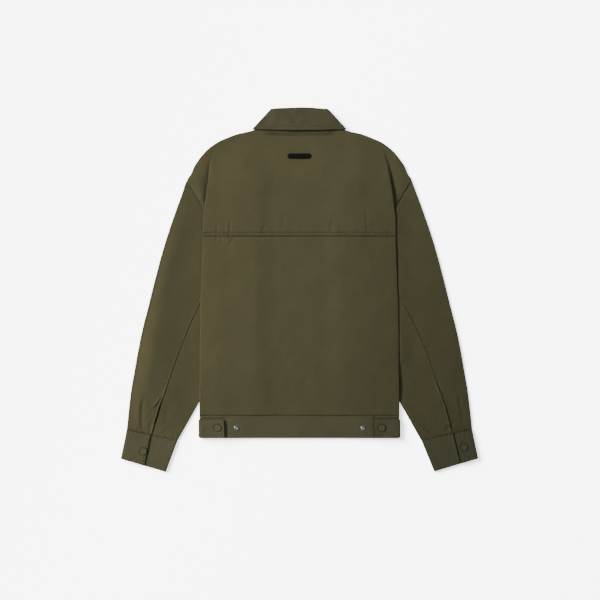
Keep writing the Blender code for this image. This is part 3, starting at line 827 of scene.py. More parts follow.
@dataclass
class BackBody:
    """The yoke with its two pleats, and the back panel with its turned sides.

    Args:
        step: spacing of the rows, in millimetres.
        inner_columns: columns from the centre to a pleat or a side fold.
        pleat_arc, pleat_steps: arc length and steps of each turn of a pleat.
        fold_radius: radius of the side folds.
        neck_seam, yoke_seam: where the yoke's two seams lie.
        yoke_stitch: how far above its lower seam the topstitching runs.
        bulge: how far the shoulders swell between a pleat and the armhole.
        drops: where the cloth beside each pleat begins to drop, and how far down it is level.
        bulge_form: how strong each shoulder's swell is, and how far out its top lies.
    """

    step: float = 2.8
    inner_columns: int = 112
    pleat_arc: float = 3.46
    pleat_steps: int = 8
    fold_radius: float = 1.4
    neck_seam: float = 367.0
    yoke_seam: float = 121.6
    yoke_stitch: float = 7.6
    bulge: float = 3.8
    drops: dict = field(default_factory=lambda: {Side.LEFT: (322.0, 95.0), Side.RIGHT: (340.0, 70.0)})
    bulge_form: dict = field(default_factory=lambda: {Side.LEFT: (1.0, 0.85), Side.RIGHT: (0.3, 1.6)})
    pieces: list = field(default_factory=list)

    def inner(self, end: float, y: float) -> Array:
        """The flat part of half a row, with its columns closer towards the side."""
        share = np.linspace(0.0, 1.0, self.inner_columns)[:-1]
        x = end * share * (1.4 - 0.4 * share)
        return np.stack([x, np.full_like(x, y), LAYERS.back(x, y)], axis=1)

    def yoke_half(self, y: float, side: Side) -> Array:
        """Half of a yoke row, as if on the right: centre, pleat, outer part and turned edge."""
        keys = column(YOKE_ROWS, 0)
        half_width, pleat_x, turn_deg, middle, edge_deg = (
            float(curve(keys, column(YOKE_ROWS, index), y)) for index in range(1, 6))
        half_width += float(armhole_bow(side, y))
        angle = math.radians(turn_deg)
        first = arc(0.0, -angle, self.pleat_arc, self.pleat_steps)
        down = [math.cos(angle), -math.sin(angle)]
        straight = first[-1] + np.outer(np.array([0.34, 0.67, 1.0]) * middle, down)
        second = straight[-1] + arc(-angle, angle, self.pleat_arc, self.pleat_steps)
        pleat = np.concatenate([[[0.0, 0.0]], first, straight, second])
        start = pleat_x - pleat[:self.pleat_steps + 1, 0].max()
        top = float(LAYERS.back(start, y))
        begins, spread = self.drops[side]
        drop = (top - LAYERS.pleat_low) * float(smooth((begins - y) / spread))
        squeeze = drop / -pleat[-1, 1] if turn_deg > 0.05 else 1.0
        inner = self.inner(start, y)
        folded = np.stack([start + pleat[:, 0], np.full(len(pleat), y), top + pleat[:, 1] * squeeze], axis=1)
        last = folded[-1]
        clear = LAYERS.cloth + LAYERS.seam + float(LAYERS.front_rise(half_width, y, False))
        shoulder = float(smooth((edge_deg - 10.0) / 50.0))
        radius = (last[2] - clear) * shoulder + self.fold_radius * (1.0 - shoulder)
        radius += 12.0 * float(smooth((12.0 - edge_deg) / 7.0))
        edge = arc(0.0, -math.radians(edge_deg), radius * math.radians(edge_deg), 6)
        rim = LAYERS.cloth / 2.0 * float(smooth((edge_deg - 60.0) / 20.0))
        edge_x = half_width - edge[:, 0].max() - rim
        shares = np.linspace(0.0, 1.0, 25)[1:]
        outer_x = last[0] + (edge_x - last[0]) * shares
        width = edge_x - pleat_x
        bulge = self.bulge * float(smooth((width - 3.0) / 22.0) * smooth((316.0 - y) / 80.0))
        across = np.clip((outer_x - pleat_x) / max(width, 1.0), 0.0, 1.0)
        strength, power = self.bulge_form[side]
        swell = strength * np.sin(math.pi * across ** power)
        outer = np.stack([outer_x, np.full_like(outer_x, y), last[2] + bulge * swell], axis=1)
        turned = np.stack([edge_x + edge[:, 0], np.full(6, y), last[2] + edge[:, 1]], axis=1)
        return np.concatenate([inner, folded, outer, turned])

    def panel_half(self, y: float, _: Side) -> Array:
        """Half of a back panel row, as if on the right: over, round the side fold and under."""
        keys = column(BACK_ROWS, 0)
        fold_x = float(curve(keys, column(BACK_ROWS, 1), y))
        under_x = float(curve(keys, column(BACK_ROWS, 2), y))
        centre = fold_x - LAYERS.cloth / 2.0 - self.fold_radius
        top, low = float(LAYERS.back(centre, y)), float(LAYERS.under(centre, y))
        inner = self.inner(centre, y)
        angles = np.linspace(math.pi / 2.0, -math.pi / 2.0, 11)
        fold = np.stack([centre + self.fold_radius * np.cos(angles), np.full(11, y),
                         (top + low) / 2.0 + (top - low) / 2.0 * np.sin(angles)], axis=1)
        back_x = centre + (under_x + LAYERS.seam - centre) * np.linspace(0.0, 1.0, 15)[1:]
        under = np.stack([back_x, np.full_like(back_x, y), LAYERS.under(back_x, y)], axis=1)
        return np.concatenate([inner, fold, under])

    def rows(self, top: float, bottom: float, half: Callable[[float, Side], Array]) -> Array:
        """A grid of whole rows from top to bottom, denser near the yoke seam and the neck."""
        places = [top]
        while places[-1] > bottom:
            away = min(abs(places[-1] - at) for at in (self.yoke_seam, self.yoke_seam + 5.0, BAND_TOP))
            step = self.step * (0.36 + 0.64 * float(smooth((away - 7.0) / 14.0)))
            places.append(places[-1] - step)
        places[-1] = bottom
        return np.stack([both_halves(half(y, Side.RIGHT), half(y, Side.LEFT)) for y in places])

    def build(self, finish: Material) -> None:
        """Make the yoke and the back panel."""
        yoke_line = ((216.0, self.yoke_seam), (-216.0, self.yoke_seam))
        band_line = ((-225.0, BAND_TOP), (225.0, BAND_TOP))
        lap = SeamRelief(yoke_line[::-1], 11.0, 0.12, (self.yoke_stitch,), 0.22, 9.0, seed=3,
                         dent=1.2, groove=1.45)
        below = SeamRelief(yoke_line, 0.0, 0.0, (), 0.18, 7.0, seed=3, groove=1.45)
        hem = SeamRelief(band_line, 0.0, 0.0, (), 0.08, 10.0, seed=8, groove=1.45)
        shade = LapGroove(NECK_SHADE, -0.85, 4.4)
        yoke = ClothWall("yoke_shell", self.rows(self.neck_seam, 121.64, self.yoke_half), LAYERS.cloth,
                         flip=True, folds=BODY_FOLDS,
                         relief=(lap, *armhole_relief(), neck_relief(), shade))
        panel = ClothWall("back_shell", self.rows(121.58, -281.9, self.panel_half), LAYERS.cloth,
                          flip=True, folds=BODY_FOLDS, edge=Edge.CRISP, relief=(below, hem))
        self.pieces = [dress(yoke.make(finish), ["back_yoke"]),
                       dress(panel.make(finish), ["back_panel"])]

    def sew(self, thread: Thread) -> None:
        """Stitch the yoke seam, the armholes and the neck."""
        probe = Probe(self.pieces)
        y = self.yoke_seam + self.yoke_stitch
        thread.sew([(-214.0, y), (214.0, y)], probe)
        for side in Side:
            thread.sew([(side.value * x, y) for x, y in ARMHOLE_STITCH], probe)
        thread.sew(NECK_STITCH, probe)


@dataclass(frozen=True)
class Beyond:
    """A lift that acts only on the cloth outside the body's folded edge."""

    lift: Lift

    def __call__(self, x: Array, y: Array) -> Array:
        """Lift at each place."""
        return self.lift(x, y) * smooth((np.abs(x) - LAYERS.body_edge(y) - 1.0) / 3.0)


def armhole_relief() -> tuple[Lift, ...]:
    """The armhole seams' relief on the yoke, right and left."""
    lines = []
    for side in Side:
        y = np.linspace(248.1, 121.9, 22)
        x = curve(column(YOKE_ROWS, 0), column(YOKE_ROWS, 1), y) + armhole_bow(side, y)
        lines.append([(side.value * a, b) for a, b in zip(x, y)])
    left, right = sorted(lines, key=lambda line: line[0][0])
    return (Beyond(SeamRelief(tuple(right[::-1]), 7.0, 0.4, (4.5,), 0.25, 8.0, seed=21, groove=0.8)),
            Beyond(SeamRelief(tuple(left), 7.0, 0.4, (4.5,), 0.3, 8.0, seed=22, groove=0.8)),
            Beyond(Crease(-226.0, 209.0, -212.0, 203.0, 1.5, 1.3)),
            Beyond(Crease(-222.0, 198.0, -210.0, 193.0, 1.5, 1.5)),
            Beyond(Crease(-219.0, 188.0, -208.0, 184.0, 1.4, 1.3)))


NECK_SHADE = ((-92.0, 352.8), (-45.0, 351.8), (0.0, 351.2), (45.0, 351.8), (72.0, 352.8))
NECK_STITCH = ((-56.0, 353.5), (-30.0, 351.0), (0.0, 349.8), (30.0, 351.0), (64.0, 353.5))
ARMHOLE_STITCH = ((247.5, 249.0), (240.0, 236.0), (216.0, 194.8))


def neck_relief() -> Lift:
    """The neck seam's relief: the allowance that is stitched down on the yoke."""
    seam = tuple((x, y + 6.0) for x, y in reversed(NECK_STITCH))
    return SeamRelief(seam, 9.0, 0.35, (6.0,), 0.12, 8.0, seed=5)


BODY_FOLDS: tuple[Lift, ...] = (
    Drape(0.35, 70.0, 210.0, seed=11, grain=0.0, spread=50.0),
    Drape(0.15, 25.0, 60.0, seed=12, grain=10.0, spread=70.0),
    Crease(-155.0, 158.0, -158.0, 110.0, 2.8, -1.05, 0.0, 0.4),
    Crease(-184.0, 150.0, -187.0, 106.0, 2.5, -0.81, 0.0, 0.4),
    Crease(-178.0, 138.0, -173.0, 104.0, 2.2, -0.74, 1.0, 0.4),
    Crease(-146.0, 125.0, -162.0, 100.0, 2.4, -0.93, -2.0, 0.3),
    Crease(-168.0, 141.0, -166.0, 110.0, 2.2, -0.62),
    Crease(-77.0, 150.0, -90.0, 113.0, 2.6, -0.81, 0.0, 0.4),
    Crease(-36.0, 172.0, -38.0, 119.0, 5.0, -0.5, 1.0, 0.5),
    Crease(2.0, 156.0, 5.0, 118.0, 3.4, -0.37),
    Crease(76.0, 170.0, 70.0, 116.0, 4.0, -0.56, 1.0, 0.4),
    Crease(90.0, 152.0, 93.0, 118.0, 3.0, -0.37),
    Crease(128.0, 152.0, 127.0, 117.0, 2.6, -0.37),
    Crease(149.0, 196.0, 153.0, 114.0, 2.6, -0.68, 1.0, 0.4),
    Crease(198.0, 145.0, 201.0, 112.0, 2.4, -0.5),
    Crease(50.0, 124.0, 55.0, 100.0, 4.0, -0.31),
    Crease(-28.0, 122.0, -38.0, 96.0, 4.0, -0.25),
)


# ---------------------------------------------------------------- the sleeves


@dataclass
class Sleeve:
    """One sleeve: its upper and its under piece, joined on the back and at the underarm.

    Args:
        side: which sleeve.
        rows: how many rows it has from the armhole to the cuff.
        columns: columns of each piece's part on the top layer.
        fold_steps: steps round each folded edge.
        start: how far from a folded edge the flat layers begin.
        underarm: where the underarm seam lies, as a share of the width.
        swell: how far the air inside lifts the top layer.
        round_width: how far in from the outer fold the layer still rises.
        dip_start, dip_width: where beside the body's edge the layer starts to rise, and how far it does.
        droop, droop_width: how much of that rise is lost again, and within what distance.
        head_width: how far down from the armhole the air fills the sleeve.
        fade_from, fade_width: where the air starts to give out towards the cuff, and how far on.
        bowed_rows: how many rows follow the armhole seam's curve.
        slit_top: where the slit above the cuff begins.
        slit_gap: how far it gapes at the cuff.
    """

    side: Side
    rows: int = 190
    columns: int = 48
    fold_steps: int = 8
    start: float = 6.0
    underarm: float = 0.9
    swell: dict = field(default_factory=lambda: {Side.LEFT: 9.0, Side.RIGHT: 6.0})
    round_width: dict = field(default_factory=lambda: {Side.LEFT: 40.0, Side.RIGHT: 190.0})
    dip_start: dict = field(default_factory=lambda: {Side.LEFT: 8.0, Side.RIGHT: -1.0})
    dip_width: dict = field(default_factory=lambda: {Side.LEFT: 110.0, Side.RIGHT: 3.5})
    droop: dict = field(default_factory=lambda: {Side.LEFT: 0.0, Side.RIGHT: 0.5})
    fade_from: dict = field(default_factory=lambda: {Side.LEFT: -225.0, Side.RIGHT: -130.0})
    droop_width: float = 45.0
    head_width: float = 110.0
    fade_width: float = 90.0
    bowed_rows: int = 16
    slit_top: float = -232.0
    slit_gap: dict = field(default_factory=lambda: {Side.LEFT: 4.2, Side.RIGHT: 1.0})
    folds: Sequence[Lift] = ()
    pieces: list = field(default_factory=list)

    def rails(self) -> tuple[Array, Array, Array]:
        """Outer points, inner points and seam shares, row by row."""
        outer = np.array([row[0:2] for row in SLEEVE_ROWS])
        runs = np.concatenate([[0.0], np.cumsum(np.linalg.norm(np.diff(outer, axis=0), axis=1))])
        at = np.linspace(0.0, runs[-1], self.rows)
        read = [curve(runs, column(SLEEVE_ROWS, index), at) for index in range(6)]
        seam = read[4] if self.side is Side.LEFT else read[5]
        return np.stack(read[0:2], axis=1), np.stack(read[2:4], axis=1), seam

    def hollow(self, places: Array, outside: Array) -> Array:
        """The gap between the layers: round across the free part, drawn in at both ends.

        Args:
            places: where it is read.
            outside: how far each place is from the sleeve's outer fold.
        """
        x, y = places[..., 0], places[..., 1]
        beside = np.abs(x) - LAYERS.body_edge(y)
        free = smooth((beside - self.dip_start[self.side]) / self.dip_width[self.side])
        free = free * (1.0 - self.droop[self.side] * smooth(beside / self.droop_width))
        rounded = 1.0 - (1.0 - np.clip(outside / self.round_width[self.side], 0.0, 1.0)) ** 2
        ends = smooth((SHOULDER_Y - y) / self.head_width + 0.25) * (
            1.0 - 0.85 * smooth((self.fade_from[self.side] - y) / self.fade_width))
        return LAYERS.hollow_beneath + self.swell[self.side] * free * rounded * ends

    def flat(self, outer: Array, inner: Array, shares: Array, top: bool) -> Array:
        """Points across one layer at the given shares of the width."""
        places = outer + np.outer(shares, inner - outer)
        if not top:
            return np.column_stack([places, np.full(len(places), LAYERS.cloth / 2.0)])
        gap = self.hollow(places, shares * float(np.linalg.norm(inner - outer)))
        return np.column_stack([places, 1.5 * LAYERS.cloth + gap])

    def fold(self, tip: Array, outward: Array, outside: float) -> Array:
        """Points round a folded edge, from the top layer to the lower one."""
        radius = (LAYERS.cloth + float(self.hollow(tip, np.array(outside)))) / 2.0
        centre = tip - outward * (radius + LAYERS.cloth / 2.0)
        angles = np.linspace(math.pi / 2.0, -math.pi / 2.0, self.fold_steps + 1)
        places = centre + np.outer(radius * np.cos(angles), outward)
        return np.column_stack([places, LAYERS.cloth / 2.0 + radius + radius * np.sin(angles)])

    def grids(self) -> tuple[Array, Array]:
        """The middle points of the upper and the under piece."""
        upper_rows, under_rows = [], []
        low = np.linspace(0.1, 1.0, 22)
        for outer, inner, seam in zip(*self.rails()):
            width = float(np.linalg.norm(inner - outer))
            seam_y = outer[1] + (inner[1] - outer[1]) * seam
            gape = self.slit_gap[self.side] * float(
                smooth((self.slit_top - seam_y) / 35.0) * (1.0 - 0.45 * smooth((-285.0 - seam_y) / 40.0)))
            gap, start = (LAYERS.seam + gape) / 2.0 / width, self.start / width
            across = (inner - outer) / width
            steps = np.linspace(0.0, 1.0, self.columns) ** 1.5
            to_outer = seam - gap + (start - seam + gap) * steps
            to_inner = seam + gap + (1.0 - start - seam - gap) * steps
            beneath = start + (self.underarm - gap - start) * low
            end = np.array([self.underarm + gap])
            upper_rows.append(np.concatenate([self.flat(outer, inner, to_outer, True),
                                              self.fold(outer, -across, self.start),
                                              self.flat(outer, inner, beneath, False)]))
            under_rows.append(np.concatenate([self.flat(outer, inner, to_inner, True),
                                              self.fold(inner, across, width),
                                              self.flat(outer, inner, end, False)]))
        mirror = np.array([float(self.side.value), 1.0, 1.0])
        upper, under = np.stack(upper_rows), np.stack(under_rows)
        for rows in (upper[:self.bowed_rows], under[:self.bowed_rows]):
            rows[..., 0] += self.bow(rows)
        return upper * mirror, under * mirror

    def bow(self, rows: Array) -> Array:
        """How far the first rows of the top layer move out, to follow the armhole seam's curve."""
        fade = 1.0 - smooth(np.arange(len(rows)) / (len(rows) - 1.0))
        on_top = smooth((rows[..., 2] - LAYERS.cloth / 2.0) / LAYERS.cloth)
        return armhole_bow(self.side, rows[..., 1]) * fade[:, None] * on_top

    def seam_path(self) -> tuple:
        """The seam on the back, from the armhole to the cuff, on this side of the jacket."""
        outer, inner, seam = self.rails()
        places = (outer + (inner - outer) * seam[:, None])[::6]
        return tuple((float(x) * self.side.value, float(y)) for x, y in places)

    def build(self, finish: Material) -> None:
        """Make both pieces."""
        upper, under = self.grids()
        path = self.seam_path()
        outward = path[::-1] if self.side is Side.LEFT else path
        inward = outward[::-1]
        ridge = SeamRelief(outward, 6.5, 0.45, (4.4,), 0.22, 8.0, seed=31 + self.side.value, groove=0.7)
        dip = SeamRelief(inward, 0.0, 0.0, (), 0.2, 8.0, seed=31 + self.side.value, groove=0.9)
        armhole = tuple((self.side.value * x, y) for x, y in ((252.4, SHOULDER_Y), (112.9, 6.9)))
        pull = SeamRelief(armhole, 0.0, 0.0, (), 0.15, 10.0, seed=41 + self.side.value, groove=0.8)
        last = CUFF_ROWS[self.side][0]
        cuff_line = ((self.side.value * last[0], last[1]), (self.side.value * last[2], last[3]))
        gather = SeamRelief(cuff_line, 0.0, 0.0, (), 0.5, 9.0, seed=45 + self.side.value, groove=1.0)
        slit = LapGroove(path[-9:], 1.5 if self.side is Side.LEFT else 0.0, 3.0)
        word = self.side.word
        right = self.side is Side.RIGHT
        parts = ((f"sleeve_upper_{word}", upper, right, (ridge, pull, gather, slit)),
                 (f"sleeve_under_{word}", under, not right, (dip, pull, gather, *self.sunk(path))))
        for node, grid, flip, relief in parts:
            wall = ClothWall(f"{node}_shell", grid, LAYERS.cloth, folds=self.folds, relief=relief,
                             edge=Edge.CRISP, flip=flip)
            piece = dress(wall.make(finish), [node])
            self.pieces.append(piece)

    def sunk(self, path: tuple) -> list:
        """The lap beside the right sleeve's slit: the cloth under its edge lies lower."""
        if self.side is Side.LEFT:
            return []
        beside = tuple((x - 4.6, y) for x, y in path[-9:])
        return [LapGroove(path[-9:], -2.4, 1.7), LapGroove(beside, 0.9, 2.4)]

    def sew(self, thread: Thread) -> None:
        """Topstitch the seam on the back."""
        outer, inner, seam = self.rails()
        width = np.linalg.norm(inner - outer, axis=1)
        places = outer + (inner - outer) * (seam - 4.4 / width)[:, None]
        thread.sew([(self.side.value * x, y) for x, y in places[::4]], Probe(self.pieces))


CUFF_ROWS = {
    Side.LEFT: (
        # outer_x, outer_y, inner_x, inner_y, opening_share
        (388.5, -312.6, 273.9, -337.8, 0.474),
        (395.0, -345.4, 287.0, -373.0, 0.497),
        (401.8, -378.4, 300.2, -408.3, 0.520),
    ),
    Side.RIGHT: (
        (388.5, -312.6, 274.2, -337.8, 0.352),
        (395.2, -345.0, 288.6, -372.6, 0.366),
        (402.2, -377.6, 302.8, -407.4, 0.380),
    ),
}


@dataclass
class Cuff:
    """A cuff: a flat ring that laps over itself at its opening, with a row of stitching.

    Args:
        side: which cuff.
        snap: where its snap stands, as if on the right.
        cloth: thickness of its wall.
        lap: how far the ring's start reaches beneath its end.
        hollow: the gap inside the ring.
        rows: how many rows it has.
        inset: how far in the topstitching runs.
        folds: lifts that move its whole cloth.
    """

    side: Side
    snap: tuple[float, float]
    cloth: float = 2.4
    lap: float = 20.0
    hollow: float = 0.8
    rows: int = 44
    inset: float = 3.4
    folds: Sequence[Lift] = ()
    piece: Piece | None = None

    @property
    def first_layer(self) -> float:
        """Middle height of the layer beneath the lap."""
        return 1.5 * self.cloth + self.hollow

    @property
    def lap_layer(self) -> float:
        """Middle height of the lap."""
        return self.first_layer + self.cloth + LAYERS.seam

    @property
    def top(self) -> float:
        """Height of the lap's upper face."""
        return self.lap_layer + self.cloth / 2.0

    def row(self, outer: Array, inner: Array, opening: float) -> Array:
        """One row round the ring."""
        width = float(np.linalg.norm(inner - outer))
        along = (inner - outer) / width
        low = self.cloth / 2.0
        at = opening * width
        small, large = (self.first_layer - low) / 2.0, (self.lap_layer - low) / 2.0
        centre = width - self.cloth / 2.0 - small
        top = np.linspace(at - self.lap, width - 6.0, 46)
        turn_in = np.linspace(math.pi / 2.0, -math.pi / 2.0, 9)
        other = self.cloth / 2.0 + large
        turn_out = np.linspace(-math.pi / 2.0, -1.5 * math.pi, 11)
        beneath = np.linspace(centre - 4.0, other + 4.0, 18)
        lap = np.linspace(other + 3.0, at, 34)
        runs = np.concatenate([top, centre + small * np.cos(turn_in), beneath,
                               other + large * np.cos(turn_out), lap])
        heights = np.concatenate([np.full(len(top), self.first_layer), low + small * (1.0 + np.sin(turn_in)),
                                  np.full(len(beneath), low), low + large * (1.0 + np.sin(turn_out)),
                                  np.full(len(lap), self.lap_layer)])
        return np.column_stack([outer + np.outer(runs, along), heights])

    def reads(self, at: Array) -> list:
        """The table's columns read at some shares of the cuff's length."""
        keys = np.linspace(0.0, 1.0, 3)
        return [curve(keys, column(CUFF_ROWS[self.side], index), at) for index in range(5)]

    def build(self, finish: Material) -> None:
        """Make the ring."""
        read = self.reads(np.linspace(0.0, 1.0, self.rows))
        rows = [self.row(np.array([a, b]), np.array([c, d]), e) for a, b, c, d, e in zip(*read)]
        grid = np.stack(rows) * np.array([float(self.side.value), 1.0, 1.0])
        loops = [SeamRelief(self.line(0.0, 0.0, 1.0), 0.0, 0.0, (), 0.3, 9.0, seed=51, groove=0.8),
                 SeamRelief(self.line(1.0, 0.0, 1.0), 0.0, 0.0, (), 0.1, 9.0, seed=52),
                 RingDent((self.side.value * self.snap[0], self.snap[1]))]
        if self.side is Side.RIGHT:
            loops += [LapGroove(self.beside_lap(1.2), -2.6, 1.3), LapGroove(self.beside_lap(5.0), 0.9, 2.2)]
        wall = ClothWall(f"cuff_{self.side.word}_shell", grid, self.cloth, flip=self.side is Side.LEFT,
                         folds=self.folds, edge=Edge.CRISP, relief=(*loops, *self.dents()))
        self.piece = dress(wall.make(finish), [f"cuff_{self.side.word}"])

    def line(self, along: float, start: float, end: float) -> tuple:
        """A line across the cuff at a share of its length, between two shares of its width."""
        a, b, c, d, _ = (float(part) for part in self.reads(np.array(along)))
        return tuple((self.side.value * (a + (c - a) * share), b + (d - b) * share)
                     for share in (start, end))

    def beside_lap(self, out: float) -> tuple:
        """The line beside the lap's edge, from above the cuff to below it."""
        a, b, c, d, e = self.reads(np.array((0.0, 0.0, 0.5, 1.0)))
        share = e + out / CUFF_WIDTH
        x, y = self.side.value * (a + (c - a) * share), b + (d - b) * share
        y[0] += 34.0
        return tuple(zip(x.tolist(), y.tolist()))

    def rows_to_sew(self) -> list:
        """The paths of the topstitching: along the top, and beside the opening."""
        edge, beside = self.inset / CUFF_LENGTH, self.inset / CUFF_WIDTH
        opening = []
        for a, b, c, d, share in zip(*self.reads(np.linspace(edge, 1.0 - edge, 5))):
            out = share - beside
            opening.append((self.side.value * float(a + (c - a) * out), float(b + (d - b) * out)))
        return [self.line(edge, 0.03, 0.97), tuple(opening)]

    def dents(self) -> list:
        """The dents that the topstitching leaves."""
        return [StitchDent(path) for path in self.rows_to_sew()]

    def sew(self, thread: Thread) -> None:
        """Topstitch the cuff."""
        for path in self.rows_to_sew():
            thread.sew(path, Probe([self.piece]))


@dataclass(frozen=True)
class LapGroove:
    """A long soft dip or lift along a path, fading at its start.

    Args:
        path: its points.
        height: its height, below zero for a dip.
        width: its half width.
    """

    path: tuple
    height: float
    width: float

    def __call__(self, x: Array, y: Array) -> Array:
        """Lift at each place."""
        distance, place = SeamRelief(self.path).near(x, y)
        return self.height * smooth(place / 30.0) * np.exp(-(distance / self.width) ** 2)


@dataclass(frozen=True)
class RingDent:
    """The dent round a snap, where it presses into the cloth."""

    centre: tuple[float, float]
    depth: float = 1.3
    radius: float = 7.6

    def __call__(self, x: Array, y: Array) -> Array:
        """Lift at each place."""
        away = np.hypot(x - self.centre[0], y - self.centre[1])
        return -self.depth * np.exp(-((away - self.radius) / 1.3) ** 2)


@dataclass(frozen=True)
class StitchDent:
    """The shallow groove that a row of stitching pulls into the cloth."""

    path: tuple
    depth: float = 0.55
    width: float = 1.2

    def __call__(self, x: Array, y: Array) -> Array:
        """Lift at each place."""
        distance, place = SeamRelief(self.path).near(x, y)
        groove = np.exp(-(distance / self.width) ** 2)
        beside = np.exp(-((np.abs(distance) - 2.5) / 1.3) ** 2) * (0.8 + 0.2 * np.sin(place / 5.3))
        return self.depth * (0.4 * beside - groove)


# ---------------------------------------------------------------- the collar and its patch

LEAF_FRONT = (
    # fold_x, fold_y, edge_x, edge_y
    (60.8, 387.6, 101.0, 331.3),
    (45.0, 353.6, 93.5, 302.1),
    (26.0, 327.6, 78.8, 275.1),
    (5.5, 311.1, 58.5, 254.6),
)
STAND_FRONT = (
    (62.0, 383.5, 79.0, 352.0),
    (47.1, 351.4, 65.0, 334.0),
    (28.1, 325.5, 41.0, 315.0),
    (7.6, 309.6, 12.0, 307.0),
)


@dataclass(frozen=True)
class RingShape:
    """A flattened ring of cloth round the neck: its line along the top and along the edge.

    Args:
        fold_half, fold_y: half width and place of the back's upper line.
        edge_half, edge_y: half width and place of the back's lower line.
        bow: how far the upper line's middle rises.
        top_height, low_height: middle heights of the back and the front layer.
        inset: how far in from the corners the bend's outer face lies.
        front: the stations of the front layer.
        bend_slant: how far the bend reaches out, per unit of its radius.
        edge_bow: how far the lower line's middle rises.
    """

    fold_half: float
    fold_y: float
    edge_half: float
    edge_y: float
    bow: float
    top_height: float
    low_height: float
    inset: float
    front: Table
    bend_slant: float = 1.2
    edge_bow: float = 0.0

    def stations(self, flat: int, bend: int, front: int) -> tuple[Array, Array, Array]:
        """Fold points, edge points and the cosine of the facing, from the left tip to the right.

        Args:
            flat: stations on half of the back.
            bend: steps round the bend.
            front: stations on the front layer.
        """
        radius = (self.top_height - self.low_height) / 2.0
        middle = (self.top_height + self.low_height) / 2.0
        reach = radius * self.bend_slant
        fold_x, edge_x = self.fold_half - reach - self.inset, self.edge_half - reach - self.inset
        shares = np.linspace(0.0, 1.0, flat)[:-1]
        angles = np.linspace(math.pi / 2.0, -math.pi / 2.0, bend + 1)
        keys = np.concatenate([[0.0], np.cumsum(np.hypot(np.diff(column(self.front, 2)),
                                                         np.diff(column(self.front, 3))))])
        at = np.linspace(0.0, keys[-1], front)
        read = [curve(keys, column(self.front, index), at) for index in range(4)]
        low = np.full(front, self.low_height)
        fold = np.concatenate([
            np.column_stack([fold_x * shares, self.fold_y + self.bow * (1.0 - shares ** 2),
                             np.full(len(shares), self.top_height)]),
            np.column_stack([fold_x + reach * np.cos(angles), np.full(bend + 1, self.fold_y),
                             middle + radius * np.sin(angles)]),
            np.column_stack([read[0], read[1], low])])
        edge = np.concatenate([
            np.column_stack([edge_x * shares, self.edge_y + self.edge_bow * (1.0 - shares ** 2),
                             np.full(len(shares), self.top_height)]),
            np.column_stack([edge_x + reach * np.cos(angles), np.full(bend + 1, self.edge_y),
                             middle + radius * np.sin(angles)]),
            np.column_stack([read[2], read[3], low])])
        facing = np.concatenate([np.ones(len(shares)), np.sin(angles), -np.ones(front)])
        outward = np.stack([np.concatenate([np.zeros(len(shares)), np.cos(angles), np.zeros(front)]),
                            np.zeros(len(facing)), facing], axis=1)
        return both_halves(fold), both_halves(edge), both_halves(outward)


@dataclass
class Collar:
    """The collar leaf with its rolled fold and topstitched edge, and the stand inside it.

    Args:
        roll: radius of the fold along the leaf's top.
        stand_off: how far the middle of the leaf's edge stands off.
        inset: how far in from the leaf's edge the topstitching runs.
    """

    roll: float = 1.5
    stand_off: float = 2.6
    inset: float = 4.0
    leaf: RingShape = RingShape(64.8, 407.3, 106.6, 361.7, 3.0, 11.2, 0.96, 0.9, LEAF_FRONT, 0.6, -2.6)
    stand: RingShape = RingShape(62.8, 402.1, 78.0, 367.3, 0.0, 7.1, 2.9, 1.2, STAND_FRONT)
    folds: Sequence[Lift] = ()
    pieces: list = field(default_factory=list)

    def leaf_grid(self) -> Array:
        """The leaf's middle points: rolled over at the top, flat down to its edge."""
        fold, edge, outward = self.leaf.stations(40, 12, 22)
        down = unit(edge - fold)
        depth = self.roll * (0.1 + 0.9 * np.clip(outward[:, 2], 0.0, 1.0))
        columns = []
        for angle in np.radians(np.linspace(70.0, 0.0, 6)):
            columns.append(fold + down * self.roll * (1.0 - math.sin(angle))
                           - outward * (depth * (1.0 - math.cos(angle)))[:, None])
        start = fold + down * self.roll
        across = np.clip(1.0 - (edge[:, 0] / 92.0) ** 2, 0.0, 1.0) * np.clip(outward[:, 2], 0.0, 1.0)
        for share in np.linspace(0.0, 1.0, 34)[1:]:
            spread = start + (edge - start) * share
            spread[:, 2] += self.stand_off * across * share ** 2
            columns.append(spread)
        return np.stack(columns, axis=1)

    def stand_grid(self) -> Array:
        """The stand's middle points."""
        fold, edge, _ = self.stand.stations(14, 8, 10)
        return np.stack([fold + (edge - fold) * share for share in np.linspace(0.0, 1.0, 6)], axis=1)

    def build(self, finish: Material) -> None:
        """Make both pieces."""
        leaf = ClothWall("collar_leaf_shell", self.leaf_grid(), LAYERS.leaf, folds=self.folds,
                         relief=[StitchDent(path) for path in self.rows_to_sew()])
        stand = ClothWall("collar_stand_shell", self.stand_grid(), LAYERS.cloth)
        self.pieces = [dress(leaf.make(finish), ["collar_leaf"]),
                       dress(stand.make(finish), ["collar_stand"])]

    def rows_to_sew(self) -> list:
        """The topstitching along the leaf's lower edge."""
        y = self.leaf.edge_y + self.inset
        half = self.leaf.edge_half - 9.0
        return [((-half, y), (half, y))]

    def sew(self, thread: Thread) -> None:
        """Topstitch the leaf."""
        for path in self.rows_to_sew():
            thread.sew(path, Probe([self.pieces[0]]))


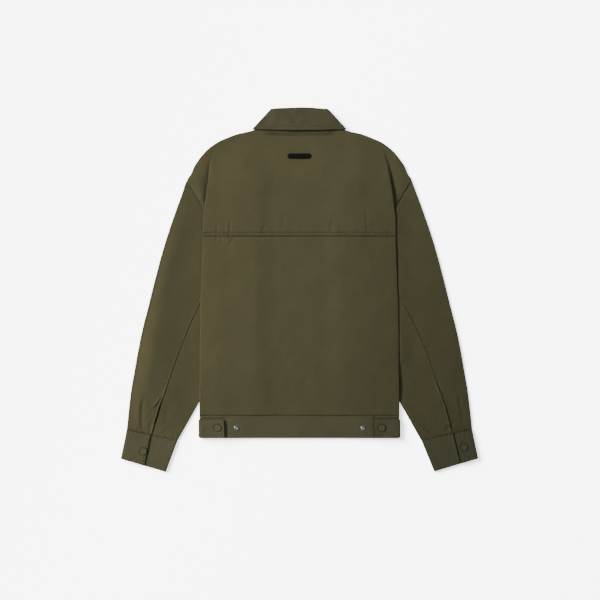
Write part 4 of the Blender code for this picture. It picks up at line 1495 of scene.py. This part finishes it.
@dataclass
class NeckPatch:
    """The small bare patch below the collar."""

    centre_y: float = 301.2
    half_width: float = 27.0
    half_height: float = 6.0
    cloth: float = 0.9

    def build(self, finish: Material) -> None:
        """Make the patch, with rounded ends."""
        rows = []
        for angle in np.linspace(-math.pi / 2.0, math.pi / 2.0, 13):
            share = math.sin(angle)
            half = self.half_width - self.half_height * (1.0 - math.sqrt(max(1.0 - share * share, 0.03)))
            x = half * np.linspace(-1.0, 1.0, 28)
            y = np.full_like(x, self.centre_y + self.half_height * share)
            lift = (LAYERS.cloth + self.cloth) / 2.0 + LAYERS.seam
            rows.append(np.stack([x, y, LAYERS.back(x, y) + lift], axis=1))
        wall = ClothWall("neck_patch_shell", np.stack(rows), self.cloth, folds=BODY_FOLDS)
        piece = dress(wall.make(finish), ["neck_patch"])


# ---------------------------------------------------------------- the fronts and the waist

FRONT_ROWS = (
    # y, inner_x, outer_x
    (350.0, 84.0, 138.0),
    (341.0, 76.0, 163.0),
    (325.0, 60.0, 193.0),
    (308.0, 39.0, 213.0),
    (302.5, 20.5, 218.0),
    (300.0, 0.0, 221.0),
    (280.0, 0.0, 234.0),
    (262.0, 0.0, 242.0),
    (248.4, 0.0, 251.2),
    (216.0, 0.0, 233.0),
    (180.0, 0.0, 212.0),
    (120.0, 0.0, 177.3),
    (60.0, 0.0, 142.5),
    (7.3, 0.0, 112.0),
    (-60.0, 0.0, 132.4),
    (-140.0, 0.0, 152.9),
    (-220.0, 0.0, 173.1),
    (-281.1, 0.0, 188.7),
)


@dataclass
class Front:
    """One front, which lies on the floor; the right one laps over the left one.

    Args:
        side: which front.
        neck_rows: how many rows of the table are taken as they are.
        even_from: where the even rows begin.
        rows: how many of those there are.
    """

    side: Side
    neck_rows: int = 6
    even_from: float = 294.0
    rows: int = 90

    def build(self, finish: Material) -> None:
        """Make the front."""
        keys = column(FRONT_ROWS, 0)
        on_top = self.side is Side.RIGHT
        rows = []
        for y in np.concatenate([keys[:self.neck_rows], np.linspace(self.even_from, keys[-1], self.rows)]):
            inner, outer = (float(np.interp(y, keys[::-1], column(FRONT_ROWS, index)[::-1]))
                            for index in (1, 2))
            start = inner if inner > 0.0 else -LAYERS.placket
            lapped = max(start + 4.0, LAYERS.placket + 1.5)
            flat = lapped + LAYERS.placket_step
            x = np.concatenate([np.linspace(start, lapped, 7)[:-1], np.linspace(lapped, flat, 8)[:-1],
                                np.linspace(flat, outer, 26)])
            heights = LAYERS.cloth / 2.0 + LAYERS.front_rise(x, np.full_like(x, y), on_top)
            rows.append(np.stack([x * self.side.value, np.full_like(x, y), heights], axis=1))
        word = self.side.word
        wall = ClothWall(f"front_{word}_shell", np.stack(rows), LAYERS.cloth, flip=on_top)
        piece = dress(wall.make(finish), [f"front_{word}"])


@dataclass
class Waist:
    """The waistband's back part and its two front parts.

    Args:
        cloth: thickness of the band's wall.
        hollow: the gap inside it.
        half_width: half its width.
        side_seam: where its side seams lie.
        tab: thickness of the tabs, which it makes room for.
        inset: how far in from its edges the topstitching runs.
        tab_shade: the sunk line above a tab, as if on the right.
        end_shade: the sunk line beside the right tab's free end.
    """

    cloth: float = 2.6
    hollow: float = 0.8
    half_width: float = 225.0
    side_seam: float = 189.0
    tab: float = 2.0
    inset: float = 4.6
    tab_shade: tuple = ((150.0, -288.2), (225.0, -288.2))
    end_shade: tuple = ((167.4, -260.0), (168.0, -332.0))
    folds: Sequence[Lift] = ()
    pieces: list = field(default_factory=list)

    @property
    def room(self) -> float:
        """How far the tabs beneath raise the band's sides."""
        return self.tab + LAYERS.seam

    @property
    def top(self) -> float:
        """Height of the band's upper face at the sides."""
        return self.room + 2.0 * self.cloth + self.hollow

    def middle(self, x: Array) -> Array:
        """Middle height of the band's upper layer."""
        return 1.5 * self.cloth + self.hollow + self.room * smooth((np.abs(x) - 90.0) / 60.0)

    def back_row(self, y: float) -> Array:
        """One row of the back part."""
        low = self.cloth / 2.0
        radius = (self.cloth + self.hollow) / 2.0
        centre = self.half_width - 0.4 - self.cloth / 2.0 - radius
        x = np.linspace(0.0, centre - 2.0, 90)
        angles = np.linspace(math.pi / 2.0, -math.pi / 2.0, 9)
        beneath = np.linspace(centre - 3.0, self.side_seam + LAYERS.seam, 8)
        heights = np.concatenate([self.middle(x), low + self.room + radius * (1.0 + np.sin(angles)),
                                  np.full(len(beneath), low + self.room)])
        places = np.concatenate([x, centre + radius * np.cos(angles), beneath])
        return both_halves(np.stack([places, np.full_like(places, y), heights], axis=1))

    def build(self, finish: Material, hidden: Material) -> None:
        """Make the three parts."""
        top = BAND_TOP - LAYERS.seam
        rows = [self.back_row(y) for y in np.linspace(top + 0.6, BAND_BOTTOM, 36)]
        seam = ((self.half_width, BAND_TOP), (-self.half_width, BAND_TOP))
        relief = [SeamRelief(seam, 7.0, 0.3, (), 0.16, 8.0, seed=8, groove=1.45)]
        relief += [StitchDent(path, 0.9) for path in self.rows_to_sew()]
        relief += [LapGroove(tuple((side.value * x, y) for x, y in self.tab_shade), -1.0, 1.4)
                   for side in Side]
        relief.append(LapGroove(self.end_shade, -1.0, 1.6))
        wall = ClothWall("waistband_back_shell", np.stack(rows), self.cloth, flip=True, folds=self.folds,
                         edge=Edge.CRISP, relief=relief)
        self.pieces = [dress(wall.make(finish), ["waistband_back"])]
        for side in Side:
            x = np.linspace(LAYERS.seam, self.side_seam, 40) * side.value
            rows = [np.stack([x, np.full_like(x, y), np.full_like(x, self.cloth / 2.0)], axis=1)
                    for y in np.linspace(top, BAND_BOTTOM, 12)]
            part = ClothWall(f"waistband_front_{side.word}_shell", np.stack(rows), self.cloth,
                             flip=side is Side.RIGHT)
            piece = dress(part.make(hidden), [f"waistband_front_{side.word}"])
            self.pieces.append(piece)

    def rows_to_sew(self) -> list:
        """The topstitching along the band's upper edge."""
        half = self.half_width - 4.0
        return [((-half, BAND_TOP - self.inset), (half, BAND_TOP - self.inset))]

    def sew(self, thread: Thread) -> None:
        """Topstitch the band."""
        for path in self.rows_to_sew():
            thread.sew(path, Probe([self.pieces[0]]))


@dataclass
class WaistTab:
    """A tab that comes from the side seam, round the fold and onto the back.

    Args:
        side: which tab.
        band_top: height of the band beneath it.
        snap: where its snap stands, as if on the right.
        cloth: its thickness.
        top_y, bottom_y, inner_x, outer_x: its edges.
        slant: how far its inner edge slants.
        seam_x: where it comes out of the side seam.
        corner: how far its corners are cut.
        gape: how far it stands off the band.
        lifted_end: how much farther its free end does.
        inset: how far in from its edges the topstitching runs.
    """

    side: Side
    band_top: float
    snap: tuple[float, float]
    cloth: float = 2.0
    top_y: float = -289.9
    bottom_y: float = -330.6
    inner_x: float = 170.2
    slant: float = 1.6
    outer_x: float = 226.9
    seam_x: float = 189.6
    corner: float = 2.0
    gape: float = 0.5
    lifted_end: float = 1.9
    inset: float = 3.0
    folds: Sequence[Lift] = ()
    piece: Piece | None = None

    @property
    def middle(self) -> float:
        """Middle height of its upper layer beside the fold."""
        return self.band_top + self.gape + self.cloth / 2.0

    def rise(self, x: Array) -> Array:
        """How far its free end is lifted."""
        return self.lifted_end * smooth((192.0 - np.abs(x)) / 22.0)

    def top(self, x: float) -> float:
        """Height of its upper face."""
        return self.middle + float(self.rise(np.array(x))) + self.cloth / 2.0

    def build(self, finish: Material) -> None:
        """Make the tab; its free end stands off the band a little."""
        low = self.cloth / 2.0
        radius = (self.middle - low) / 2.0
        centre = self.outer_x - self.cloth / 2.0 - radius
        rows = []
        for y in np.linspace(self.top_y, self.bottom_y, 30):
            near = min(self.top_y - y, y - self.bottom_y)
            cut = max(self.corner - near, 0.0)
            angles = np.linspace(-math.pi / 2.0, math.pi / 2.0, 15)
            beneath = np.linspace(self.seam_x, centre - 1.5, 12)
            inner = self.inner_x - self.slant * (self.top_y - y) / (self.top_y - self.bottom_y)
            over = np.linspace(centre - 1.5, inner + cut, 36)
            x = np.concatenate([beneath, centre + radius * np.cos(angles), over])
            z = np.concatenate([np.full(len(beneath), low), low + radius * (1.0 + np.sin(angles)),
                                self.middle + self.rise(over)])
            rows.append(np.stack([x * self.side.value, np.full_like(x, y), z], axis=1))
        relief = [*(StitchDent(path, 0.4) for path in self.rows_to_sew()), *self.rims(),
                  RingDent((self.side.value * self.snap[0], self.snap[1]))]
        wall = ClothWall(f"tab_{self.side.word}_shell", np.stack(rows), self.cloth, folds=self.folds,
                         relief=relief, edge=Edge.CRISP, flip=self.side is Side.LEFT)
        self.piece = dress(wall.make(finish), [f"tab_{self.side.word}"])

    def rims(self) -> list[Lift]:
        """The hard folded rims along the free edges, which catch the light."""
        side = self.side.value
        inner, outer = side * (self.inner_x - 0.4), side * (self.outer_x + 30.0)
        lines = [((outer, y), (inner, y)) for y in (self.top_y - 0.6, self.bottom_y + 0.8)]
        lines.append(((inner, self.top_y + 30.0), (inner - side * 0.8, self.bottom_y)))
        return [LapGroove(line, 0.7, 1.0) for line in lines]

    def rows_to_sew(self) -> list:
        """The topstitching along the tab's three free edges."""
        inner, outer = self.inner_x + self.inset, self.outer_x - 5.0
        top, bottom = self.top_y - self.inset, self.bottom_y + self.inset
        corners = ((outer, top), (inner, top), (inner, bottom), (outer, bottom))
        return [tuple((self.side.value * x, y) for x, y in corners)]

    def sew(self, thread: Thread) -> None:
        """Topstitch the tab."""
        for path in self.rows_to_sew():
            thread.sew(path, Probe([self.piece]))


# ---------------------------------------------------------------- snaps and studs


@dataclass(frozen=True)
class Turned:
    """A small turned metal piece.

    Args:
        name: the piece's name.
        node: the frame's node.
        place: where its axis stands.
        base: height of its foot.
        profile: its outline, a radius and a height each, from the foot to the top's middle.
        steps: how many steps it is turned in.
    """

    name: str
    node: str
    place: tuple[float, float]
    base: float
    profile: tuple
    steps: int = 48

    def build(self, finish: Material, slot: str) -> Piece:
        """Turn the outline round the axis."""
        radii, heights = smooth_outline(self.profile)
        angles = np.linspace(0.0, 2.0 * math.pi, self.steps, endpoint=False)
        rings = np.stack([np.outer(radii, np.cos(angles)) + self.place[0],
                          np.outer(radii, np.sin(angles)) + self.place[1],
                          np.repeat(heights[:, None] + self.base, self.steps, axis=1)], axis=2)
        foot = [[self.place[0], self.place[1], self.base + heights[0]]]
        crown = [[self.place[0], self.place[1], self.base + heights[-1]]]
        points = np.concatenate([foot, rings.reshape(-1, 3), crown])
        faces = []
        count = len(radii)
        for step in range(self.steps):
            after = (step + 1) % self.steps
            faces.append((0, 1 + after, 1 + step))
            for ring in range(count - 1):
                low = 1 + ring * self.steps
                faces.append((low + step, low + after, low + self.steps + after, low + self.steps + step))
            top = 1 + (count - 1) * self.steps
            faces.append((top + step, top + after, len(points) - 1))
        return dress(mesh_piece(self.name, points, faces, finish), [self.node])


def smooth_outline(profile: Table) -> tuple[Array, Array]:
    """An outline with its corners rounded by twice cutting them."""
    points = np.array(profile, float)
    for _ in range(2):
        first, second = points[:-1], points[1:]
        cut = np.stack([0.75 * first + 0.25 * second, 0.25 * first + 0.75 * second], axis=1).reshape(-1, 2)
        points = np.concatenate([points[:1], cut, points[-1:]])
    return points[:, 0], points[:, 1]


SNAP_OUTLINE = ((7.0, 0.0), (7.6, 0.4), (7.6, 1.2), (6.9, 1.75), (5.6, 1.8), (4.9, 1.45), (3.6, 1.4),
                (0.1, 1.6))
STUD_OUTLINE = ((5.0, 0.0), (5.0, 0.6), (3.7, 0.8), (3.1, 2.2), (2.4, 2.5), (1.7, 1.4), (0.1, 1.3))


# ---------------------------------------------------------------- the studio


@dataclass(frozen=True)
class Studio:
    """A pale floor, soft daylight from the upper left and a camera straight above.

    Args:
        centre: what the camera looks at, in millimetres.
        width: how wide the view is.
        lens, sensor: the camera's lens and sensor width, in millimetres.
        floor: the floor's colour.
        floor_half: half the floor's width, in millimetres.
        floor_power, floor_sun: strength of the floor's own light, and where it comes from.
        floor_softness: how wide that light is, in degrees.
        floor_glow: how strongly the floor itself glows.
        key_place, key_aim, key_size, key_spread, key_power, key_colour: the key light.
        sky, sky_strength: the colour and strength of the light from above.
        bounce: how strongly the pale surroundings below throw light back.
    """

    centre: tuple[float, float] = (1.1, -21.9)
    width: float = 1350.0
    lens: float = 100.0
    sensor: float = 36.0
    floor: tuple[float, float, float] = (0.8, 0.8, 0.8)
    floor_half: float = 9000.0
    floor_power: float = 46.0
    floor_softness: float = 38.0
    floor_glow: float = 1.8
    floor_sun: tuple[float, float, float] = (-1.0, 0.62, 0.55)
    key_place: tuple[float, float, float] = (-2.4, 0.86, 1.62)
    key_aim: tuple[float, float, float] = (-0.11, 0.0, 0.0)
    key_size: tuple[float, float] = (3.7, 0.5)
    key_spread: float = 18.0
    key_power: float = 12.0
    key_colour: tuple[float, float, float] = (1.0, 0.94, 0.81)
    sky: tuple[float, float, float] = (0.84, 1.03, 1.07)
    sky_strength: float = 0.43
    bounce: float = 1.5

    def lay_floor(self) -> Piece:
        """Lay the floor that the jacket is photographed on; it throws no light back."""
        finish, tree, shader, _ = new_material("floor")
        fill(tree, shader, {"Base Color": (*self.floor, 1.0), "Roughness": 0.95, "Specular IOR Level": 0.1,
                            "Emission Color": (1.0, 1.0, 1.0, 1.0), "Emission Strength": self.floor_glow})
        half = self.floor_half
        corners = np.array([(-half, -half, 0.0), (half, -half, 0.0), (half, half, 0.0), (-half, half, 0.0)])
        floor = mesh_piece("floor", corners, [(0, 1, 2, 3)], finish)
        floor.visible_diffuse = floor.visible_glossy = False
        return floor

    def hang(self, lamp: bpy.types.Light, place: tuple, aim: tuple) -> Piece:
        """Hang a lamp at a place, in metres, so that it faces another."""
        piece = bpy.data.objects.new(lamp.name, lamp)
        piece.location = place
        piece.rotation_euler = (Vector(aim) - Vector(place)).to_track_quat("-Z", "Y").to_euler()
        bpy.context.scene.collection.objects.link(piece)
        return piece

    def wash(self, floor: Piece) -> None:
        """Wash the floor alone, evenly, from the upper left, so that the jacket's shadow shows on it."""
        lamp = bpy.data.lights.new("floor_wash", "SUN")
        lamp.energy, lamp.angle = self.floor_power, math.radians(self.floor_softness)
        piece = self.hang(lamp, self.floor_sun, (0.0, 0.0, 0.0))
        lit = bpy.data.collections.new("washed")
        lit.objects.link(floor)
        piece.light_linking.receiver_collection = lit

    def strip(self) -> None:
        """Hang the warm key light at the upper left: a long softbox whose grid fades its right side."""
        lamp = bpy.data.lights.new("key", "AREA")
        lamp.energy, lamp.color, lamp.shape = self.key_power, self.key_colour, "RECTANGLE"
        lamp.size, lamp.size_y = self.key_size
        lamp.spread = math.radians(self.key_spread)
        self.hang(lamp, self.key_place, self.key_aim)

    def set_up(self) -> None:
        """Set the floor, the lights, the world and the camera."""
        self.wash(self.lay_floor())
        self.strip()
        world = bpy.data.worlds.new("studio")
        world.use_nodes = True
        tree = world.node_tree
        ray = tree.nodes.new("ShaderNodeTexCoord").outputs["Generated"]
        heading = add(tree, "SeparateXYZ", {"Vector": ray})
        height = add(tree, "MapRange", {"From Min": -0.1, "From Max": 0.1, "Value": heading.outputs["Z"]})
        above = tuple(part * self.sky_strength for part in self.sky)
        light = mixed(tree, height.outputs["Result"], (self.bounce,) * 3, above)
        fill(tree, tree.nodes["Background"], {"Strength": 1.0, "Color": light})
        bpy.context.scene.world = world
        camera = bpy.data.cameras.new("camera")
        camera.lens, camera.sensor_width = self.lens, self.sensor
        camera.clip_end = 50.0
        piece = bpy.data.objects.new("camera", camera)
        height = self.width * self.lens / self.sensor
        piece.location = (self.centre[0] * MM, self.centre[1] * MM, height * MM)
        bpy.context.scene.collection.objects.link(piece)
        bpy.context.scene.camera = piece


# ---------------------------------------------------------------- the whole jacket

CLOTH_FINISH = TwillFinish("olive_twill", (0.0722, 0.0642, 0.0333))
# A lighter, greyer copy of the cloth's colour, for the cuffs, the band and the tabs.
LIGHTER_CLOTH_FINISH = TwillFinish("olive_twill_lighter", (0.0728, 0.0668, 0.0385))
# A darker copy of the cloth's colour, with stronger blotches, for the collar.
COLLAR_FINISH = TwillFinish("olive_twill_collar", (0.064, 0.0562, 0.0338), dark=0.12)
INSIDE_FINISH = TwillFinish("olive_twill_inside", (0.064, 0.053, 0.027))
THREAD_FINISH = PlainFinish("thread", (0.1, 0.09, 0.05), 0.7, grain=0.6)
CAP_FINISH = PlainFinish("cap_paint", (0.063, 0.069, 0.027), 0.5, grain=1.2, specular=0.3)
STUD_FINISH = PlainFinish("stud_silver", (0.38, 0.39, 0.38), 0.3, metallic=1.0)
PATCH_FINISH = PlainFinish("patch_black", (0.004, 0.004, 0.004), 0.85, grain=0.5, specular=0.12)

CUFF_SNAPS = {Side.LEFT: (350.4, -361.2), Side.RIGHT: (369.7, -352.4)}
TAB_SNAPS = {Side.LEFT: (183.0, -308.6), Side.RIGHT: (185.2, -308.6)}
TAB_ENDS = {Side.LEFT: 169.4, Side.RIGHT: 170.4}
BAND_STUD = (142.0, -309.0)

SLEEVE_FOLDS: dict[Side, tuple[Lift, ...]] = {
    Side.LEFT: (
        Drape(0.45, 60.0, 180.0, seed=61, grain=20.0, spread=50.0),
        Drape(0.12, 25.0, 60.0, seed=63, grain=20.0, spread=60.0),
        Crease(-333.0, -265.0, -308.0, -233.0, 2.6, 1.6, 2.0),
        Crease(-350.0, -292.0, -334.0, -264.0, 3.0, 0.4, 1.5),
        Crease(-349.0, -236.0, -353.0, -318.0, 4.0, -1.5, 3.0, 0.6),
        Crease(-330.0, -292.0, -340.0, -316.0, 3.0, -0.8, 1.0, 0.5),
        Crease(-296.0, -262.0, -300.0, -318.0, 6.0, -0.4, 2.0, 0.5),
        Crease(-318.0, -322.0, -292.0, -305.0, 3.5, 0.8, -2.0),
    ),
    Side.RIGHT: (
        Drape(0.45, 60.0, 180.0, seed=62, grain=-20.0, spread=50.0),
        Drape(0.12, 25.0, 60.0, seed=64, grain=-20.0, spread=60.0),
        Crease(322.0, -246.0, 326.0, -262.0, 3.4, -1.2, 1.0, 0.4),
        Crease(350.0, -300.0, 324.0, -318.0, 3.6, -1.8, 1.5, 0.5),
        Crease(344.0, -314.0, 309.0, -323.0, 2.4, 1.0, 1.0),
        Crease(293.0, -327.0, 272.0, -306.0, 3.0, 1.1, 1.0),
        Crease(286.0, -262.0, 306.0, -300.0, 8.0, 0.9, 2.0),
        Crease(355.0, -225.0, 368.0, -312.0, 5.0, -0.8, -2.0, 0.5),
    ),
}
CUFF_FOLDS: tuple[Lift, ...] = (
    Drape(0.22, 30.0, 80.0, seed=71, grain=0.0, spread=80.0),
)
TAB_FOLDS: tuple[Lift, ...] = (
    Drape(0.2, 18.0, 50.0, seed=72, grain=90.0, spread=60.0),
)
BAND_FOLDS: tuple[Lift, ...] = (
    Drape(0.16, 25.0, 70.0, seed=73, grain=0.0, spread=60.0),
)
LEAF_FOLDS: tuple[Lift, ...] = (
    Drape(0.25, 25.0, 60.0, seed=74, grain=0.0, spread=60.0),
    Crease(-52.0, 412.0, -60.0, 362.0, 12.0, 1.1, 0.0, 0.9),
    Crease(-34.0, 412.0, 2.0, 372.0, 7.0, -1.1, 2.0, 0.5),
    Crease(0.0, 404.0, 26.0, 388.0, 5.0, -0.6, 0.0, 0.4),
)


def build_jacket() -> None:
    """Build and dress every piece of the jacket, and sew it."""
    cloth, lighter_cloth, inside = CLOTH_FINISH.make(), LIGHTER_CLOTH_FINISH.make(), INSIDE_FINISH.make()
    cap, silver = CAP_FINISH.make(), STUD_FINISH.make()
    thread = Thread("stitching")
    body, collar, waist = BackBody(), Collar(folds=LEAF_FOLDS), Waist(folds=BAND_FOLDS)
    body.build(cloth)
    body.sew(thread)
    collar.build(COLLAR_FINISH.make())
    collar.sew(thread)
    NeckPatch().build(PATCH_FINISH.make())
    waist.build(lighter_cloth, inside)
    waist.sew(thread)
    for side in Side:
        Front(side).build(inside)
        sleeve = Sleeve(side, folds=SLEEVE_FOLDS[side])
        sleeve.build(cloth)
        sleeve.sew(thread)
        cuff = Cuff(side, CUFF_SNAPS[side], folds=CUFF_FOLDS)
        cuff.build(lighter_cloth)
        cuff.sew(thread)
        tab = WaistTab(side, waist.top, TAB_SNAPS[side], inner_x=TAB_ENDS[side], folds=TAB_FOLDS)
        tab.build(lighter_cloth)
        tab.sew(thread)
        snap_x, stud_x = TAB_SNAPS[side][0], BAND_STUD[0]
        stud_base = float(waist.middle(stud_x)) + waist.cloth / 2.0
        metal = (("cuff_snap", CUFF_SNAPS[side], cuff.top, SNAP_OUTLINE, cap, "snap_paint"),
                 ("tab_snap", TAB_SNAPS[side], tab.top(snap_x), SNAP_OUTLINE, cap, "snap_paint"),
                 ("band_stud", BAND_STUD, stud_base, STUD_OUTLINE, silver, "stud_metal"))
        for kind, (x, y), base, outline, finish, slot in metal:
            node = f"{kind}_{side.word}"
            Turned(f"{node}_cap", node, (side.value * x, y), base + LAYERS.seam, outline).build(finish, slot)
    dress(thread.make(THREAD_FINISH.make()))


def main() -> None:
    """Build the jacket and its studio."""
    logging.basicConfig(level=logging.INFO, format="%(message)s")
    build_jacket()
    Studio().set_up()


if __name__ == "__main__":
    main()
